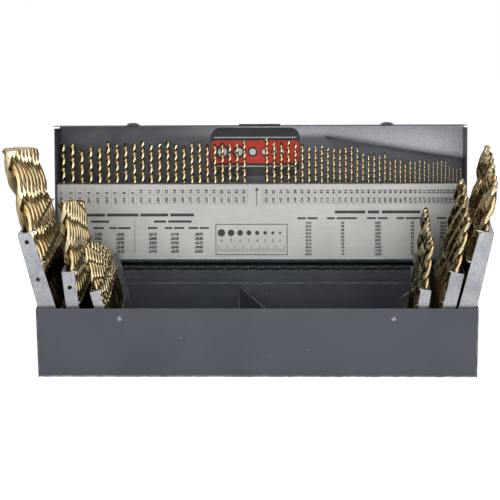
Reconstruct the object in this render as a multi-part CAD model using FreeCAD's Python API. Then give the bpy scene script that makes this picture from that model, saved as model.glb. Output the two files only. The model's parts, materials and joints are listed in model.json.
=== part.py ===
import FreeCAD, Part
import math
import os

# Hinged sheet-steel drill index case, standing open, millimetres.
# Origin at the centre of the underside, +X to the right, +Y to the back, +Z up.
# The shallow tray carries two fans of three hinged leaves, left and right.
# The lid leans back on its piano hinge and carries the row of numbered bits.

Vector = FreeCAD.Vector

# Case sizes
CASE_LENGTH = 381.0
TRAY_DEPTH = 129.3
TRAY_HEIGHT = 62.6
SHEET = 0.9
BEND_RADIUS = 1.8
SEAM_GAP = 0.25
OVERRUN = 5.0

# Catch dimples on the front wall
DIMPLE_SPACING = 236.0
DIMPLE_DROP = 8.9
DIMPLE_RADIUS = 2.2
DIMPLE_RISE = 0.7
RELIEF_NOTCH = 2.2

# End plate weld tabs
TAB_WIDTH = 9.0
TAB_TOP_SHARE = 0.62

# Lid sizes
LID_FRONT_GAP = 1.2
LID_DEPTH = 42.4
LID_LEAN = 11.2
SKIRT_DROP = 12.0
CORNER_NICK = 2.6
POCKET_SPACING = 232.5
POCKET_CHORD = 14.0
POCKET_RISE = 2.6
FINGER_LIP_WIDTH = 38.0
FINGER_LIP_FLARE = 1.4
FINGER_LIP_DROP = 3.4

# Piano hinge
HINGE_LEAF = 0.9
HINGE_PIN_RADIUS = 0.9
HINGE_BORE_CLEARANCE = 0.06
HINGE_LEAF_HEIGHT = 9.3
HINGE_END_GAP = 1.5
KNUCKLE_COUNT = 13
KNUCKLE_GAP = 0.2
KNUCKLE_SIDES = 6
BARREL_CLEARANCE = 0.25

# Cradle pan that carries the leaf pivots
CRADLE_SHEET = 0.9
CRADLE_WALL_GAP = 1.0
CRADLE_HEIGHT = 48.4
CRADLE_EAR_RISE = 6.4
CRADLE_EAR_WIDTH = 20.0
CRADLE_EAR_SLOPE = 9.0
CRADLE_END_GAP = 1.2

# Divider between the two bays
DIVIDER_DROP = 3.1
DIVIDER_SHEET = 0.9
DIVIDER_BACK_X = -20.2
DIVIDER_FRONT_X = 25.4
DIVIDER_TAB = 9.0
DIVIDER_HEM = 2.4
DIVIDER_GAP = 0.3

# Leaves, shared sizes
LEAF_SIDE_GAP = 1.85
LEAF_SHEET = 0.9
LEAF_FOOT_DROP = 5.0
LEAF_SEAT = 1.5
LEAF_STOP_GAP = 0.25
PIVOT_RADIUS = 1.9
PIVOT_CLEARANCE = 0.06
PIVOT_SIDES = 6
PIVOT_SHOULDER_RADIUS = 3.1
PIVOT_END_GAP = 0.12
PIN_SIDES = 8
HOLE_CLEARANCE = 0.3
OUTER_TOP_HOLE_SIDES = 8
TOP_HOLE_SIDES = 6
SECOND_HOLE_SIDES = 4
FLANGE_HOLE_RADIUS = 1.9
FLANGE_HOLE_SIDES = 10
SHELF_CORNER_RADIUS = 3.6
CORNER_STEP_COUNT = 2

# Pivots of the three leaves of a fan: the outer one below the tray's rim, the others above the floor
OUTER_PIVOT_DROP = 12.6
MIDDLE_PIVOT_HEIGHT = 31.5
INNER_PIVOT_HEIGHT = 17.0

# Top shelf heights above the pivot
OUTER_TOP = 81.0
MIDDLE_TOP = 63.0
INNER_TOP = 61.5

# Second shelf heights above the pivot
OUTER_SECOND = 53.0
MIDDLE_SECOND = 35.0
INNER_SECOND = 48.0

# Flange widths at the foot and at the top
OUTER_FOOT_WIDTH = 15.8
OUTER_TOP_WIDTH = 12.4
MIDDLE_FOOT_WIDTH = 11.9
MIDDLE_TOP_WIDTH = 11.4
INNER_FOOT_WIDTH = 9.4
INNER_TOP_WIDTH = 9.0

# How far the shelves stand in past the flanges
OUTER_OVERHANG = 4.2
MIDDLE_OVERHANG = 2.6
INNER_OVERHANG = 1.9

# Rounding of each flange's upper inner corner
OUTER_FLANGE_CORNER = 4.2
MIDDLE_FLANGE_CORNER = 2.4
INNER_FLANGE_CORNER = 0.8

# Room between each leaf's web and its widest bit
OUTER_ROW_GAP = 1.5
MIDDLE_ROW_GAP = 1.5
INNER_ROW_GAP = 0.5

# How far the left inner leaf's rest climbs to the back, under its short thin bits
LEFT_INNER_REST_RISE = 20.0

# Wings on the back flanges of the inner leaves: how far they stand in, and where they end
LEFT_WING_WIDTH = 4.2
RIGHT_WING_WIDTH = 7.6
RIGHT_WING_HEIGHT = 14.5

# Outward lean of each leaf as it stands open, degrees
LEFT_LEAN_ANGLES = (13.0, 5.0, 13.5)
RIGHT_LEAN_ANGLES = (11.5, 12.0, 7.5)

# Outer face of each leaf where it passes the tray's rim, in from the end wall
LEFT_MIDDLE_INSET = 24.3
LEFT_INNER_INSET = 48.4
RIGHT_MIDDLE_INSET = 17.5
RIGHT_INNER_INSET = 41.3

# Flange holes of the left fan, above the pivot
OUTER_HOLE_HIGH = 73.1
OUTER_HOLE_LOW = 38.7
MIDDLE_HOLE = 49.0

# Drill bits: largest diameters, and each row's sizes as shares of its largest
FRACTION_LARGEST = 12.7
FRACTION_OUTER_SHARES = (1.0, 0.96875, 0.9375, 0.90625, 0.875, 0.84375, 0.8125, 0.78125)
FRACTION_MIDDLE_SHARES = (0.75, 0.71875, 0.6875, 0.65625, 0.625, 0.59375, 0.5625, 0.53125, 0.5)
FRACTION_INNER_SHARES = (
    0.46875, 0.4375, 0.40625, 0.375, 0.34375, 0.3125,
    0.28125, 0.25, 0.21875, 0.1875, 0.15625, 0.125,
)
LETTER_LARGEST = 10.49
LETTER_OUTER_SHARES = (0.8426, 0.8668, 0.8910, 0.9128, 0.9346, 0.9613, 0.9782, 1.0)
LETTER_MIDDLE_SHARES = (0.6707, 0.6804, 0.7022, 0.7143, 0.7312, 0.7651, 0.7821, 0.8039, 0.8208)
LETTER_INNER_SHARES = (0.5666, 0.5763, 0.5860, 0.5956, 0.6053, 0.6223, 0.6320, 0.6441, 0.6586)
NUMBER_LARGEST = 5.791
NUMBER_SHARES = (
    1.0, 0.9693, 0.9342, 0.9167, 0.9013, 0.8947, 0.8816, 0.8728, 0.8596, 0.8487,
    0.8377, 0.8289, 0.8114, 0.7982, 0.7895, 0.7763, 0.7588, 0.7434, 0.7281, 0.7061,
    0.6974, 0.6886, 0.6754, 0.6667, 0.6557, 0.6447, 0.6316, 0.6162, 0.5965, 0.5636,
    0.5263, 0.5088, 0.4956, 0.4868, 0.4825, 0.4671, 0.4561, 0.4452, 0.4364, 0.4298,
    0.4211, 0.4101, 0.3904, 0.3772, 0.3596, 0.3553, 0.3443, 0.3311, 0.3202, 0.3070,
    0.2939, 0.2785, 0.2610, 0.2412, 0.2281, 0.2039, 0.1886, 0.1842, 0.1798, 0.1754,
)
BIT_LENGTH_BASE = 30.5
BIT_LENGTH_SHARE = 12.27
BIT_LONG_BASE = 50.8
BIT_LONG_SHARE = 8.0
FLUTE_BASE = 4.0
FLUTE_SHARE = 11.5
FLUTE_LONG_BASE = 25.4
FLUTE_LONG_SHARE = 7.0
HELIX_LEAD_SHARE = 8.4
POINT_HALF_ANGLE = 59.0
WEB_SHARE = 0.42
LAND_HALF_ANGLE = 26.0
HELIX_STEP_ANGLE = 60.0
NUMBER_LARGE_STEP_COUNT = 3
NUMBER_SMALL_STEP_COUNT = 2
THICK_BIT_SIDES = 6
THIN_BIT_SIDES = 4
DOME_SIDES = 10
DOME_RING_SHARE = 0.72
DOME_RISE_SHARE = 0.68
DOME_CROWN_SHARE = 0.34

# Number panel in the lid
PANEL_SHEET = 0.9
PANEL_RECESS = 8.0
PANEL_TOP = 77.9
PANEL_BOTTOM = 3.8
PANEL_TOP_BEND = 1.9
PANEL_BOTTOM_BEND = 4.2
PANEL_SIDE_GAP = 0.4
ROW_LEFT_INSET = 4.1
ROW_RIGHT_INSET = 3.6
ROW_MIDDLE_ROOM = 21.0
LARGE_ROW_SHARE = 0.485
ROW_SPREAD_SHARE = 0.2
ROW_BACK = 14.0
CENTRE_DRILL_HOLE = 5.6
NUMBER_LARGE_COUNT = 23
NUMBER_BIT_SIDES = 4
NUMBER_HOLE_SIDES = 4
NUMBER_HOLE_CLEARANCE = 0.12

# Sloping rest strip behind the panel, depths below the panel's shelf
REST_SHEET = 0.9
REST_DEEP = 60.0
REST_MIDDLE = 38.0
REST_SHALLOW = 28.0

# Angled bit stop in the lid's far corner, its heights as shares of the room above the panel
STOP_SHEET = 1.0
STOP_LENGTH = 129.2
STOP_LEFT_SHARE = 0.776
STOP_RIGHT_SHARE = 0.4
STOP_LEAF_SHARE = 0.3
STOP_DEPTH = 19.0
STOP_BEVEL = 9.0

# Sizes that follow from those above
HALF_LENGTH = CASE_LENGTH / 2
HALF_DEPTH = TRAY_DEPTH / 2
INNER_HALF_LENGTH = HALF_LENGTH - SHEET
INNER_HALF_DEPTH = HALF_DEPTH - SHEET
HINGE_Y = HALF_DEPTH
HINGE_Z = TRAY_HEIGHT
BARREL_RADIUS = SHEET + HINGE_LEAF
BARREL_CORNER = BARREL_RADIUS / math.cos(math.pi / KNUCKLE_SIDES)
BARREL_ROOM = BARREL_CORNER + BARREL_CLEARANCE
HINGE_HALF = INNER_HALF_LENGTH - HINGE_END_GAP
CRADLE_OUTER_Y = INNER_HALF_DEPTH - CRADLE_WALL_GAP
CRADLE_INNER_Y = CRADLE_OUTER_Y - CRADLE_SHEET
CRADLE_FLOOR_TOP = SHEET + CRADLE_SHEET
DIVIDER_TOP = CRADLE_HEIGHT - DIVIDER_DROP
HALF_LEAF = CRADLE_INNER_Y - LEAF_SIDE_GAP
LEAF_LENGTH = 2 * HALF_LEAF
LID_REACH = TRAY_DEPTH + LID_FRONT_GAP + SHEET
LID_INNER_BACK = LID_DEPTH - SHEET
ROW_START = -INNER_HALF_LENGTH + ROW_LEFT_INSET
ROW_END = INNER_HALF_LENGTH - ROW_RIGHT_INSET
ROW_REACH = ROW_END - ROW_START - ROW_MIDDLE_ROOM
LARGE_ROW_REACH = ROW_REACH * LARGE_ROW_SHARE
SMALL_ROW_REACH = ROW_REACH - LARGE_ROW_REACH
STOP_ROOM = LID_REACH - PANEL_TOP
STOP_LEFT_HEIGHT = PANEL_TOP + STOP_ROOM * STOP_LEFT_SHARE
STOP_RIGHT_HEIGHT = PANEL_TOP + STOP_ROOM * STOP_RIGHT_SHARE
STOP_LEAF = STOP_ROOM * STOP_LEAF_SHARE
OUTER_PIVOT_HEIGHT = TRAY_HEIGHT - OUTER_PIVOT_DROP


def box(x0, y0, z0, x1, y1, z1):
    """A box between two opposite corners."""
    return Part.makeBox(x1 - x0, y1 - y0, z1 - z0, Vector(x0, y0, z0))


def prism(points, direction):
    """A closed flat outline swept along a direction."""
    wire = Part.makePolygon(list(points) + [points[0]])
    return Part.Face(wire).extrude(direction)


def polygon(sides, apothem, turn):
    """Corners of a regular polygon with the given distance from centre to flat."""
    radius = apothem / math.cos(math.pi / sides)
    corners = []
    for i in range(sides):
        angle = math.radians(turn) + math.pi / sides + 2 * math.pi * i / sides
        corners.append((radius * math.cos(angle), radius * math.sin(angle)))
    return corners


def drilled(shape, cutters):
    """The shape with every cutter taken away in one cut."""
    return shape.cut(Part.makeCompound(cutters)).removeSplitter()


def save(name, shape):
    """Write one node."""
    shape.exportStep("parts/" + name + ".step")


def bent_channel(height_front, height_back, half_depth, sheet, radius, half_length, base_z):
    """A sheet folded up at the front and back, as a profile swept along X."""
    outer = [
        Vector(-half_length, -half_depth, base_z + height_front),
        Vector(-half_length, -half_depth, base_z + radius),
        Vector(-half_length, -half_depth + radius, base_z),
        Vector(-half_length, half_depth - radius, base_z),
        Vector(-half_length, half_depth, base_z + radius),
        Vector(-half_length, half_depth, base_z + height_back),
    ]
    inside = half_depth - sheet
    inner_radius = radius - sheet
    floor = base_z + sheet
    inner = [
        Vector(-half_length, inside, base_z + height_back),
        Vector(-half_length, inside, floor + inner_radius),
        Vector(-half_length, inside - inner_radius, floor),
        Vector(-half_length, -inside + inner_radius, floor),
        Vector(-half_length, -inside, floor + inner_radius),
        Vector(-half_length, -inside, base_z + height_front),
    ]

    def bend(start, end, centre, arc_radius):
        middle = Vector(start.x, 0, 0)
        direction = Vector(0, (start.y + end.y) / 2 - centre.y, (start.z + end.z) / 2 - centre.z)
        direction.normalize()
        middle.y = centre.y + direction.y * arc_radius
        middle.z = centre.z + direction.z * arc_radius
        return Part.Arc(start, middle, end).toShape()

    front_centre = Vector(-half_length, -half_depth + radius, base_z + radius)
    back_centre = Vector(-half_length, half_depth - radius, base_z + radius)
    edges = [
        Part.makeLine(outer[0], outer[1]),
        bend(outer[1], outer[2], front_centre, radius),
        Part.makeLine(outer[2], outer[3]),
        bend(outer[3], outer[4], back_centre, radius),
        Part.makeLine(outer[4], outer[5]),
        Part.makeLine(outer[5], inner[0]),
        Part.makeLine(inner[0], inner[1]),
        bend(inner[1], inner[2], back_centre, inner_radius),
        Part.makeLine(inner[2], inner[3]),
        bend(inner[3], inner[4], front_centre, inner_radius),
        Part.makeLine(inner[4], inner[5]),
        Part.makeLine(inner[5], outer[0]),
    ]
    return Part.Face(Part.Wire(edges)).extrude(Vector(2 * half_length, 0, 0))


def faceted(levels, crown):
    """A closed solid of flat facets through rings of corners, closed at a crown point."""
    faces = [Part.Face(Part.makePolygon(levels[0] + [levels[0][0]]))]
    corners = len(levels[0])
    for below, above in zip(levels, levels[1:]):
        for i in range(corners):
            j = (i + 1) % corners
            faces.append(facet(below[i], below[j], above[i]))
            faces.append(facet(below[j], above[j], above[i]))
    last = levels[-1]
    if crown is None:
        faces.append(Part.Face(Part.makePolygon(last + [last[0]])))
    else:
        for i in range(corners):
            faces.append(facet(last[i], last[(i + 1) % corners], crown))
    solid = Part.Solid(Part.Shell(faces))
    if solid.Volume < 0:
        solid.reverse()
    return solid


def dome(centre, outward, chord, rise):
    """A low faceted dome standing on a plane, for pressed dimples and pockets."""
    radius = chord / 2
    rings = (
        (radius, 0),
        (radius * DOME_RING_SHARE, rise * DOME_RISE_SHARE),
        (radius * DOME_CROWN_SHARE, rise),
    )
    levels = []
    for ring_radius, height in rings:
        apothem = ring_radius * math.cos(math.pi / DOME_SIDES)
        ring = polygon(DOME_SIDES, apothem, 0)
        levels.append([Vector(a, b, height) for a, b in ring])
    solid = faceted(levels, None).removeSplitter()
    solid.Placement = FreeCAD.Placement(centre, FreeCAD.Rotation(Vector(0, 0, 1), outward))
    return solid


# Tray

def base_tray():
    """Floor, front wall and back wall folded from one sheet."""
    back_height = TRAY_HEIGHT - BARREL_ROOM
    tray = bent_channel(
        TRAY_HEIGHT, back_height, HALF_DEPTH, SHEET, BEND_RADIUS,
        INNER_HALF_LENGTH - SEAM_GAP, 0,
    )
    outward = Vector(0, -1, 0)
    for side in (-1, 1):
        spot = Vector(side * DIMPLE_SPACING / 2, -HALF_DEPTH, TRAY_HEIGHT - DIMPLE_DROP)
        tray = tray.fuse(dome(spot, outward, 2 * DIMPLE_RADIUS, DIMPLE_RISE))
        notch_x = side * (INNER_HALF_LENGTH - SEAM_GAP)
        notch = Part.makeBox(
            2 * RELIEF_NOTCH, 2 * RELIEF_NOTCH, 2 * RELIEF_NOTCH,
            Vector(notch_x - RELIEF_NOTCH, -HALF_DEPTH - RELIEF_NOTCH, -RELIEF_NOTCH),
        )
        tray = tray.cut(notch)
    return tray.removeSplitter()


def base_end(side):
    """End wall with its weld tabs turned in along the front, back and floor."""
    outer = side * HALF_LENGTH
    inner = side * INNER_HALF_LENGTH
    low, high = min(outer, inner), max(outer, inner)
    wall_outline = [
        Vector(low, -HALF_DEPTH, 0),
        Vector(low, HALF_DEPTH, 0),
        Vector(low, HALF_DEPTH, TRAY_HEIGHT - BARREL_ROOM),
        Vector(low, HALF_DEPTH - BARREL_ROOM, TRAY_HEIGHT),
        Vector(low, -HALF_DEPTH, TRAY_HEIGHT),
    ]
    plate = prism(wall_outline, Vector(high - low, 0, 0))
    tab_x = side * (INNER_HALF_LENGTH - TAB_WIDTH)
    x0, x1 = min(outer, tab_x), max(outer, tab_x)
    tab_top = TRAY_HEIGHT * TAB_TOP_SHARE
    front_tab = box(
        x0, -INNER_HALF_DEPTH, BEND_RADIUS, x1, -INNER_HALF_DEPTH + SHEET, tab_top
    )
    back_tab = box(
        x0, INNER_HALF_DEPTH - SHEET, BEND_RADIUS, x1, INNER_HALF_DEPTH, tab_top
    )
    return plate.fuse([front_tab, back_tab]).removeSplitter()


def fan_cradle():
    """Pan welded in the tray: its front and back flanges carry the leaf pivots."""
    half = INNER_HALF_LENGTH - CRADLE_END_GAP
    pan = bent_channel(
        CRADLE_HEIGHT - SHEET, CRADLE_HEIGHT - SHEET, CRADLE_OUTER_Y, CRADLE_SHEET,
        BEND_RADIUS, half, SHEET,
    )
    ears = []
    ear_top = OUTER_PIVOT_HEIGHT + CRADLE_EAR_RISE
    for side in (-1, 1):
        edge = side * half
        shoulder = side * (half - CRADLE_EAR_WIDTH)
        toe = side * (half - CRADLE_EAR_WIDTH - CRADLE_EAR_SLOPE)
        for wall_y in (-CRADLE_OUTER_Y, CRADLE_INNER_Y):
            outline = [
                Vector(edge, wall_y, CRADLE_HEIGHT),
                Vector(edge, wall_y, ear_top),
                Vector(shoulder, wall_y, ear_top),
                Vector(toe, wall_y, CRADLE_HEIGHT),
            ]
            ears.append(prism(outline, Vector(0, CRADLE_SHEET, 0)))
    pan = pan.fuse(ears)
    cutters = []
    for leaf in LEAVES:
        for wall_y in (-CRADLE_OUTER_Y, CRADLE_INNER_Y):
            cutters.append(
                pivot_prism(leaf.pivot_x, leaf.pivot_z, wall_y - OVERRUN, wall_y + OVERRUN,
                            PIVOT_RADIUS + PIVOT_CLEARANCE)
            )
    return drilled(pan, cutters)


def pivot_prism(x, z, y0, y1, apothem):
    """A faceted bar along Y with the given distance from its axis to its flats."""
    corners = [Vector(x + a, y0, z + b) for a, b in polygon(PIVOT_SIDES, apothem, 0)]
    return prism(corners, Vector(0, y1 - y0, 0))


def divider():
    """Slanting plate between the bays, with a turned tab at each end and a hemmed top."""
    back_y = CRADLE_INNER_Y - DIVIDER_GAP
    front_y = -CRADLE_INNER_Y + DIVIDER_GAP
    run = Vector(DIVIDER_FRONT_X - DIVIDER_BACK_X, front_y - back_y, 0)
    along = Vector(run.x, run.y, 0)
    along.normalize()
    across = Vector(-along.y, along.x, 0)
    floor = CRADLE_FLOOR_TOP
    slope = run.x / run.y
    skew = DIVIDER_SHEET * math.sqrt(1 + slope * slope)
    outline = [
        Vector(DIVIDER_BACK_X, back_y, floor),
        Vector(DIVIDER_BACK_X + skew, back_y, floor),
        Vector(DIVIDER_FRONT_X + skew, front_y, floor),
        Vector(DIVIDER_FRONT_X, front_y, floor),
    ]
    height = DIVIDER_TOP - floor
    plate = prism(outline, Vector(0, 0, height))
    back_tab = box(
        DIVIDER_BACK_X, back_y - DIVIDER_SHEET, floor,
        DIVIDER_BACK_X + DIVIDER_TAB, back_y, DIVIDER_TOP - DIVIDER_HEM,
    )
    front_tab = box(
        DIVIDER_FRONT_X + skew - DIVIDER_TAB, front_y, floor,
        DIVIDER_FRONT_X + skew, front_y + DIVIDER_SHEET, DIVIDER_TOP - DIVIDER_HEM,
    )
    hem_points = [
        Vector(DIVIDER_BACK_X + skew, back_y, DIVIDER_TOP - DIVIDER_HEM),
        Vector(DIVIDER_BACK_X + skew, back_y, DIVIDER_TOP),
        Vector(DIVIDER_BACK_X + 2 * skew, back_y, DIVIDER_TOP),
        Vector(DIVIDER_BACK_X + 2 * skew, back_y, DIVIDER_TOP - DIVIDER_HEM),
    ]
    hem = prism(hem_points, run)
    notches = []
    for end_y, end_x in ((back_y, DIVIDER_BACK_X), (front_y, DIVIDER_FRONT_X)):
        notches.append(
            box(end_x - DIVIDER_TAB, end_y - BEND_RADIUS, floor - OVERRUN,
                end_x + DIVIDER_TAB, end_y + BEND_RADIUS, floor + BEND_RADIUS)
        )
    return drilled(plate.fuse([back_tab, front_tab, hem]), notches)


# Piano hinge

def knuckle_spans(first):
    """Every second knuckle's ends along X."""
    pitch = 2 * HINGE_HALF / KNUCKLE_COUNT
    spans = []
    for i in range(first, KNUCKLE_COUNT, 2):
        start = -HINGE_HALF + i * pitch + KNUCKLE_GAP / 2
        spans.append((start, start + pitch - KNUCKLE_GAP))
    return spans


def hinge_leaf(first):
    """Hinge leaf hanging below the axis at Y and Z zero, with its rolled knuckles."""
    inner_face = -BARREL_RADIUS
    outer_face = -BARREL_RADIUS + HINGE_LEAF
    leaf = box(
        -HINGE_HALF, inner_face, -HINGE_LEAF_HEIGHT, HINGE_HALF, outer_face, -BARREL_ROOM
    )
    bore_apothem = HINGE_PIN_RADIUS + HINGE_BORE_CLEARANCE
    pieces = []
    bores = []
    for start, end in knuckle_spans(first):
        ring = [Vector(start, a, b) for a, b in polygon(KNUCKLE_SIDES, BARREL_RADIUS, 0)]
        pieces.append(prism(ring, Vector(end - start, 0, 0)))
        pieces.append(box(start, inner_face, -BARREL_ROOM, end, outer_face, 0))
        bore = [
            Vector(start - OVERRUN, a, b)
            for a, b in polygon(NUMBER_HOLE_SIDES, bore_apothem, 0)
        ]
        bores.append(prism(bore, Vector(end - start + 2 * OVERRUN, 0, 0)))
    leaf = leaf.fuse(pieces)
    return drilled(leaf, bores)


def hinge_leaf_base():
    """Leaf on the inside of the tray's back wall."""
    leaf = hinge_leaf(0)
    leaf.translate(Vector(0, HINGE_Y, HINGE_Z))
    return leaf


def hinge_leaf_lid():
    """Leaf on the inside of the lid's hinge wall, in the lid's own frame."""
    leaf = hinge_leaf(1)
    leaf.rotate(Vector(0, 0, 0), Vector(1, 0, 0), 180)
    leaf.rotate(Vector(0, 0, 0), Vector(1, 0, 0), -90)
    return leaf


def hinge_pin():
    """Pin through every knuckle."""
    apothem = HINGE_PIN_RADIUS * math.cos(math.pi / PIN_SIDES)
    ring = polygon(PIN_SIDES, apothem, 0)
    corners = [Vector(-HINGE_HALF, HINGE_Y + a, HINGE_Z + b) for a, b in ring]
    return prism(corners, Vector(2 * HINGE_HALF, 0, 0))


# Lid, drawn upright in its own frame with the hinge axis at Y and Z zero

def lid_placed(shape):
    """Lean the lid back and set it on the hinge."""
    shape.rotate(Vector(0, 0, 0), Vector(1, 0, 0), -LID_LEAN)
    shape.translate(Vector(0, HINGE_Y, HINGE_Z))
    return shape


def lid_shell():
    """Back panel with its four walls, the front wall reaching down as a skirt."""
    body = box(-HALF_LENGTH, 0, 0, HALF_LENGTH, LID_DEPTH, LID_REACH)
    back_edges = []
    for edge in body.Edges:
        ends = [v.Point for v in edge.Vertexes]
        if min(p.y for p in ends) > LID_DEPTH - SHEET:
            back_edges.append(edge)
    body = body.makeFillet(BEND_RADIUS, back_edges)
    hollow = box(
        -INNER_HALF_LENGTH, -OVERRUN, SHEET,
        INNER_HALF_LENGTH, LID_INNER_BACK, LID_REACH - SHEET,
    )
    body = body.cut(hollow)
    skirt = box(
        -INNER_HALF_LENGTH, -SKIRT_DROP, LID_REACH - SHEET, INNER_HALF_LENGTH, 0, LID_REACH
    )
    body = body.fuse(skirt)
    cutters = []
    outward = Vector(0, 0, 1)
    domes = []
    for side in (-1, 1):
        edge = side * HALF_LENGTH
        inside = side * (INNER_HALF_LENGTH - SEAM_GAP)
        x0, x1 = min(edge + side * OVERRUN, inside), max(edge + side * OVERRUN, inside)
        cutters.append(
            box(x0, -OVERRUN, LID_REACH - CORNER_NICK, x1, LID_INNER_BACK - BEND_RADIUS,
                LID_REACH + OVERRUN)
        )
        spot = Vector(side * POCKET_SPACING / 2, -DIMPLE_DROP, LID_REACH)
        domes.append(dome(spot, outward, POCKET_CHORD, POCKET_RISE))
        under = Vector(spot.x, spot.y, LID_REACH - SHEET)
        pocket_chord = POCKET_CHORD - 2 * SHEET
        cutters.append(dome(under, outward, pocket_chord, POCKET_RISE))
    cutters.append(
        box(-HINGE_HALF - HINGE_END_GAP, -OVERRUN, -OVERRUN,
            HINGE_HALF + HINGE_END_GAP, BARREL_ROOM, SHEET)
    )
    lip_outline = [
        Vector(0, -SKIRT_DROP + FINGER_LIP_DROP, LID_REACH),
        Vector(0, -SKIRT_DROP, LID_REACH + FINGER_LIP_FLARE),
        Vector(0, -SKIRT_DROP, LID_REACH),
    ]
    lip = prism(lip_outline, Vector(FINGER_LIP_WIDTH, 0, 0))
    lip.translate(Vector(-FINGER_LIP_WIDTH / 2, 0, 0))
    lip_cut_outline = [
        Vector(0, -SKIRT_DROP + FINGER_LIP_DROP, LID_REACH - SHEET),
        Vector(0, -SKIRT_DROP, LID_REACH - SHEET + FINGER_LIP_FLARE),
        Vector(0, -SKIRT_DROP - OVERRUN, LID_REACH - SHEET + FINGER_LIP_FLARE),
        Vector(0, -SKIRT_DROP - OVERRUN, LID_REACH - SHEET),
    ]
    lip_cut = prism(lip_cut_outline, Vector(FINGER_LIP_WIDTH, 0, 0))
    lip_cut.translate(Vector(-FINGER_LIP_WIDTH / 2, 0, 0))
    cutters.append(lip_cut)
    body = body.fuse(domes + [lip])
    return lid_placed(drilled(body, cutters))


def number_row():
    """Each number bit's diameter and its place along the row, in its two groups."""
    diameters = [NUMBER_LARGEST * share for share in NUMBER_SHARES]
    groups = (
        (diameters[:NUMBER_LARGE_COUNT], ROW_START, LARGE_ROW_REACH),
        (diameters[NUMBER_LARGE_COUNT:], ROW_END - SMALL_ROW_REACH, SMALL_ROW_REACH),
    )
    places = []
    for group, start, reach in groups:
        rooms = [diameter * (1 + ROW_SPREAD_SHARE) for diameter in group]
        taken = sum(rooms) - rooms[0] / 2 - rooms[-1] / 2
        gap = (reach - taken) / (len(rooms) - 1)
        place = start - rooms[0] / 2
        for room in rooms:
            places.append(place + room / 2)
            place += room + gap
    return diameters, places


def panel_profile():
    """Outline of the folded panel across its length: shelf, face and curled foot."""
    face = PANEL_RECESS
    back = LID_INNER_BACK
    top = PANEL_TOP
    foot = PANEL_BOTTOM
    sheet = PANEL_SHEET

    def arc(centre_y, centre_z, radius, start, end):
        points = []
        for angle in (start, (start + end) / 2, end):
            turn = math.radians(angle)
            points.append(
                Vector(0, centre_y + radius * math.cos(turn), centre_z + radius * math.sin(turn))
            )
        return points

    upper = arc(face + PANEL_TOP_BEND, top - PANEL_TOP_BEND, PANEL_TOP_BEND, 180, 90)
    upper_in = arc(
        face + PANEL_TOP_BEND, top - PANEL_TOP_BEND, PANEL_TOP_BEND - sheet, 90, 180
    )
    lower = arc(face + PANEL_BOTTOM_BEND, foot + PANEL_BOTTOM_BEND, PANEL_BOTTOM_BEND, 270, 180)
    lower_in = arc(
        face + PANEL_BOTTOM_BEND, foot + PANEL_BOTTOM_BEND, PANEL_BOTTOM_BEND - sheet, 180, 270
    )
    shelf_back = Vector(0, back, top)
    shelf_back_in = Vector(0, back, top - sheet)
    foot_back = Vector(0, back, foot)
    foot_back_in = Vector(0, back, foot + sheet)
    edges = [
        Part.makeLine(foot_back, lower[0]),
        Part.Arc(*lower).toShape(),
        Part.makeLine(lower[2], upper[0]),
        Part.Arc(*upper).toShape(),
        Part.makeLine(upper[2], shelf_back),
        Part.makeLine(shelf_back, shelf_back_in),
        Part.makeLine(shelf_back_in, upper_in[0]),
        Part.Arc(*upper_in).toShape(),
        Part.makeLine(upper_in[2], lower_in[0]),
        Part.Arc(*lower_in).toShape(),
        Part.makeLine(lower_in[2], foot_back_in),
        Part.makeLine(foot_back_in, foot_back),
    ]
    return Part.Face(Part.Wire(edges))


def number_panel():
    """Folded number panel with a hole for every bit and one for a centre drill."""
    half = INNER_HALF_LENGTH - PANEL_SIDE_GAP
    profile = panel_profile()
    profile.translate(Vector(-half, 0, 0))
    panel = profile.extrude(Vector(2 * half, 0, 0))
    row_y = PANEL_RECESS + ROW_BACK
    shelf_under = PANEL_TOP - PANEL_SHEET
    cutters = []
    diameters, places = number_row()
    for diameter, x in zip(diameters, places):
        apothem = diameter / 2 + NUMBER_HOLE_CLEARANCE
        corners = [
            Vector(x + a, row_y + b, shelf_under - OVERRUN)
            for a, b in polygon(NUMBER_HOLE_SIDES, apothem, 0)
        ]
        cutters.append(prism(corners, Vector(0, 0, PANEL_SHEET + 2 * OVERRUN)))
    before = places[NUMBER_LARGE_COUNT - 1] + diameters[NUMBER_LARGE_COUNT - 1] / 2
    after = places[NUMBER_LARGE_COUNT] - diameters[NUMBER_LARGE_COUNT] / 2
    centre_x = (before + after) / 2
    cutters.append(
        Part.makeCylinder(
            CENTRE_DRILL_HOLE, PANEL_SHEET + 2 * OVERRUN,
            Vector(centre_x, row_y, shelf_under - OVERRUN),
        )
    )
    return lid_placed(drilled(panel, cutters))


def rest_height(x):
    """Height of the rest strip's upper face in the lid's frame at a place along the row."""
    shelf = PANEL_TOP
    middle_x = (ROW_START + ROW_END) / 2
    if x <= middle_x:
        share = (x - ROW_START) / (middle_x - ROW_START)
        depth = REST_DEEP + (REST_MIDDLE - REST_DEEP) * share
    else:
        share = (x - middle_x) / (ROW_END - middle_x)
        depth = REST_MIDDLE + (REST_SHALLOW - REST_MIDDLE) * share
    return shelf - depth


def number_rest():
    """Sloping strip, bent once, that the numbered bits stand on."""
    half = INNER_HALF_LENGTH - PANEL_SIDE_GAP
    stations = [-half, (ROW_START + ROW_END) / 2, half]
    face = PANEL_RECESS + PANEL_SHEET
    top = [Vector(x, face, rest_height(x)) for x in stations]
    under = [Vector(p.x, p.y, p.z - REST_SHEET) for p in reversed(top)]
    return lid_placed(prism(top + under, Vector(0, LID_INNER_BACK - face, 0)))


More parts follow.
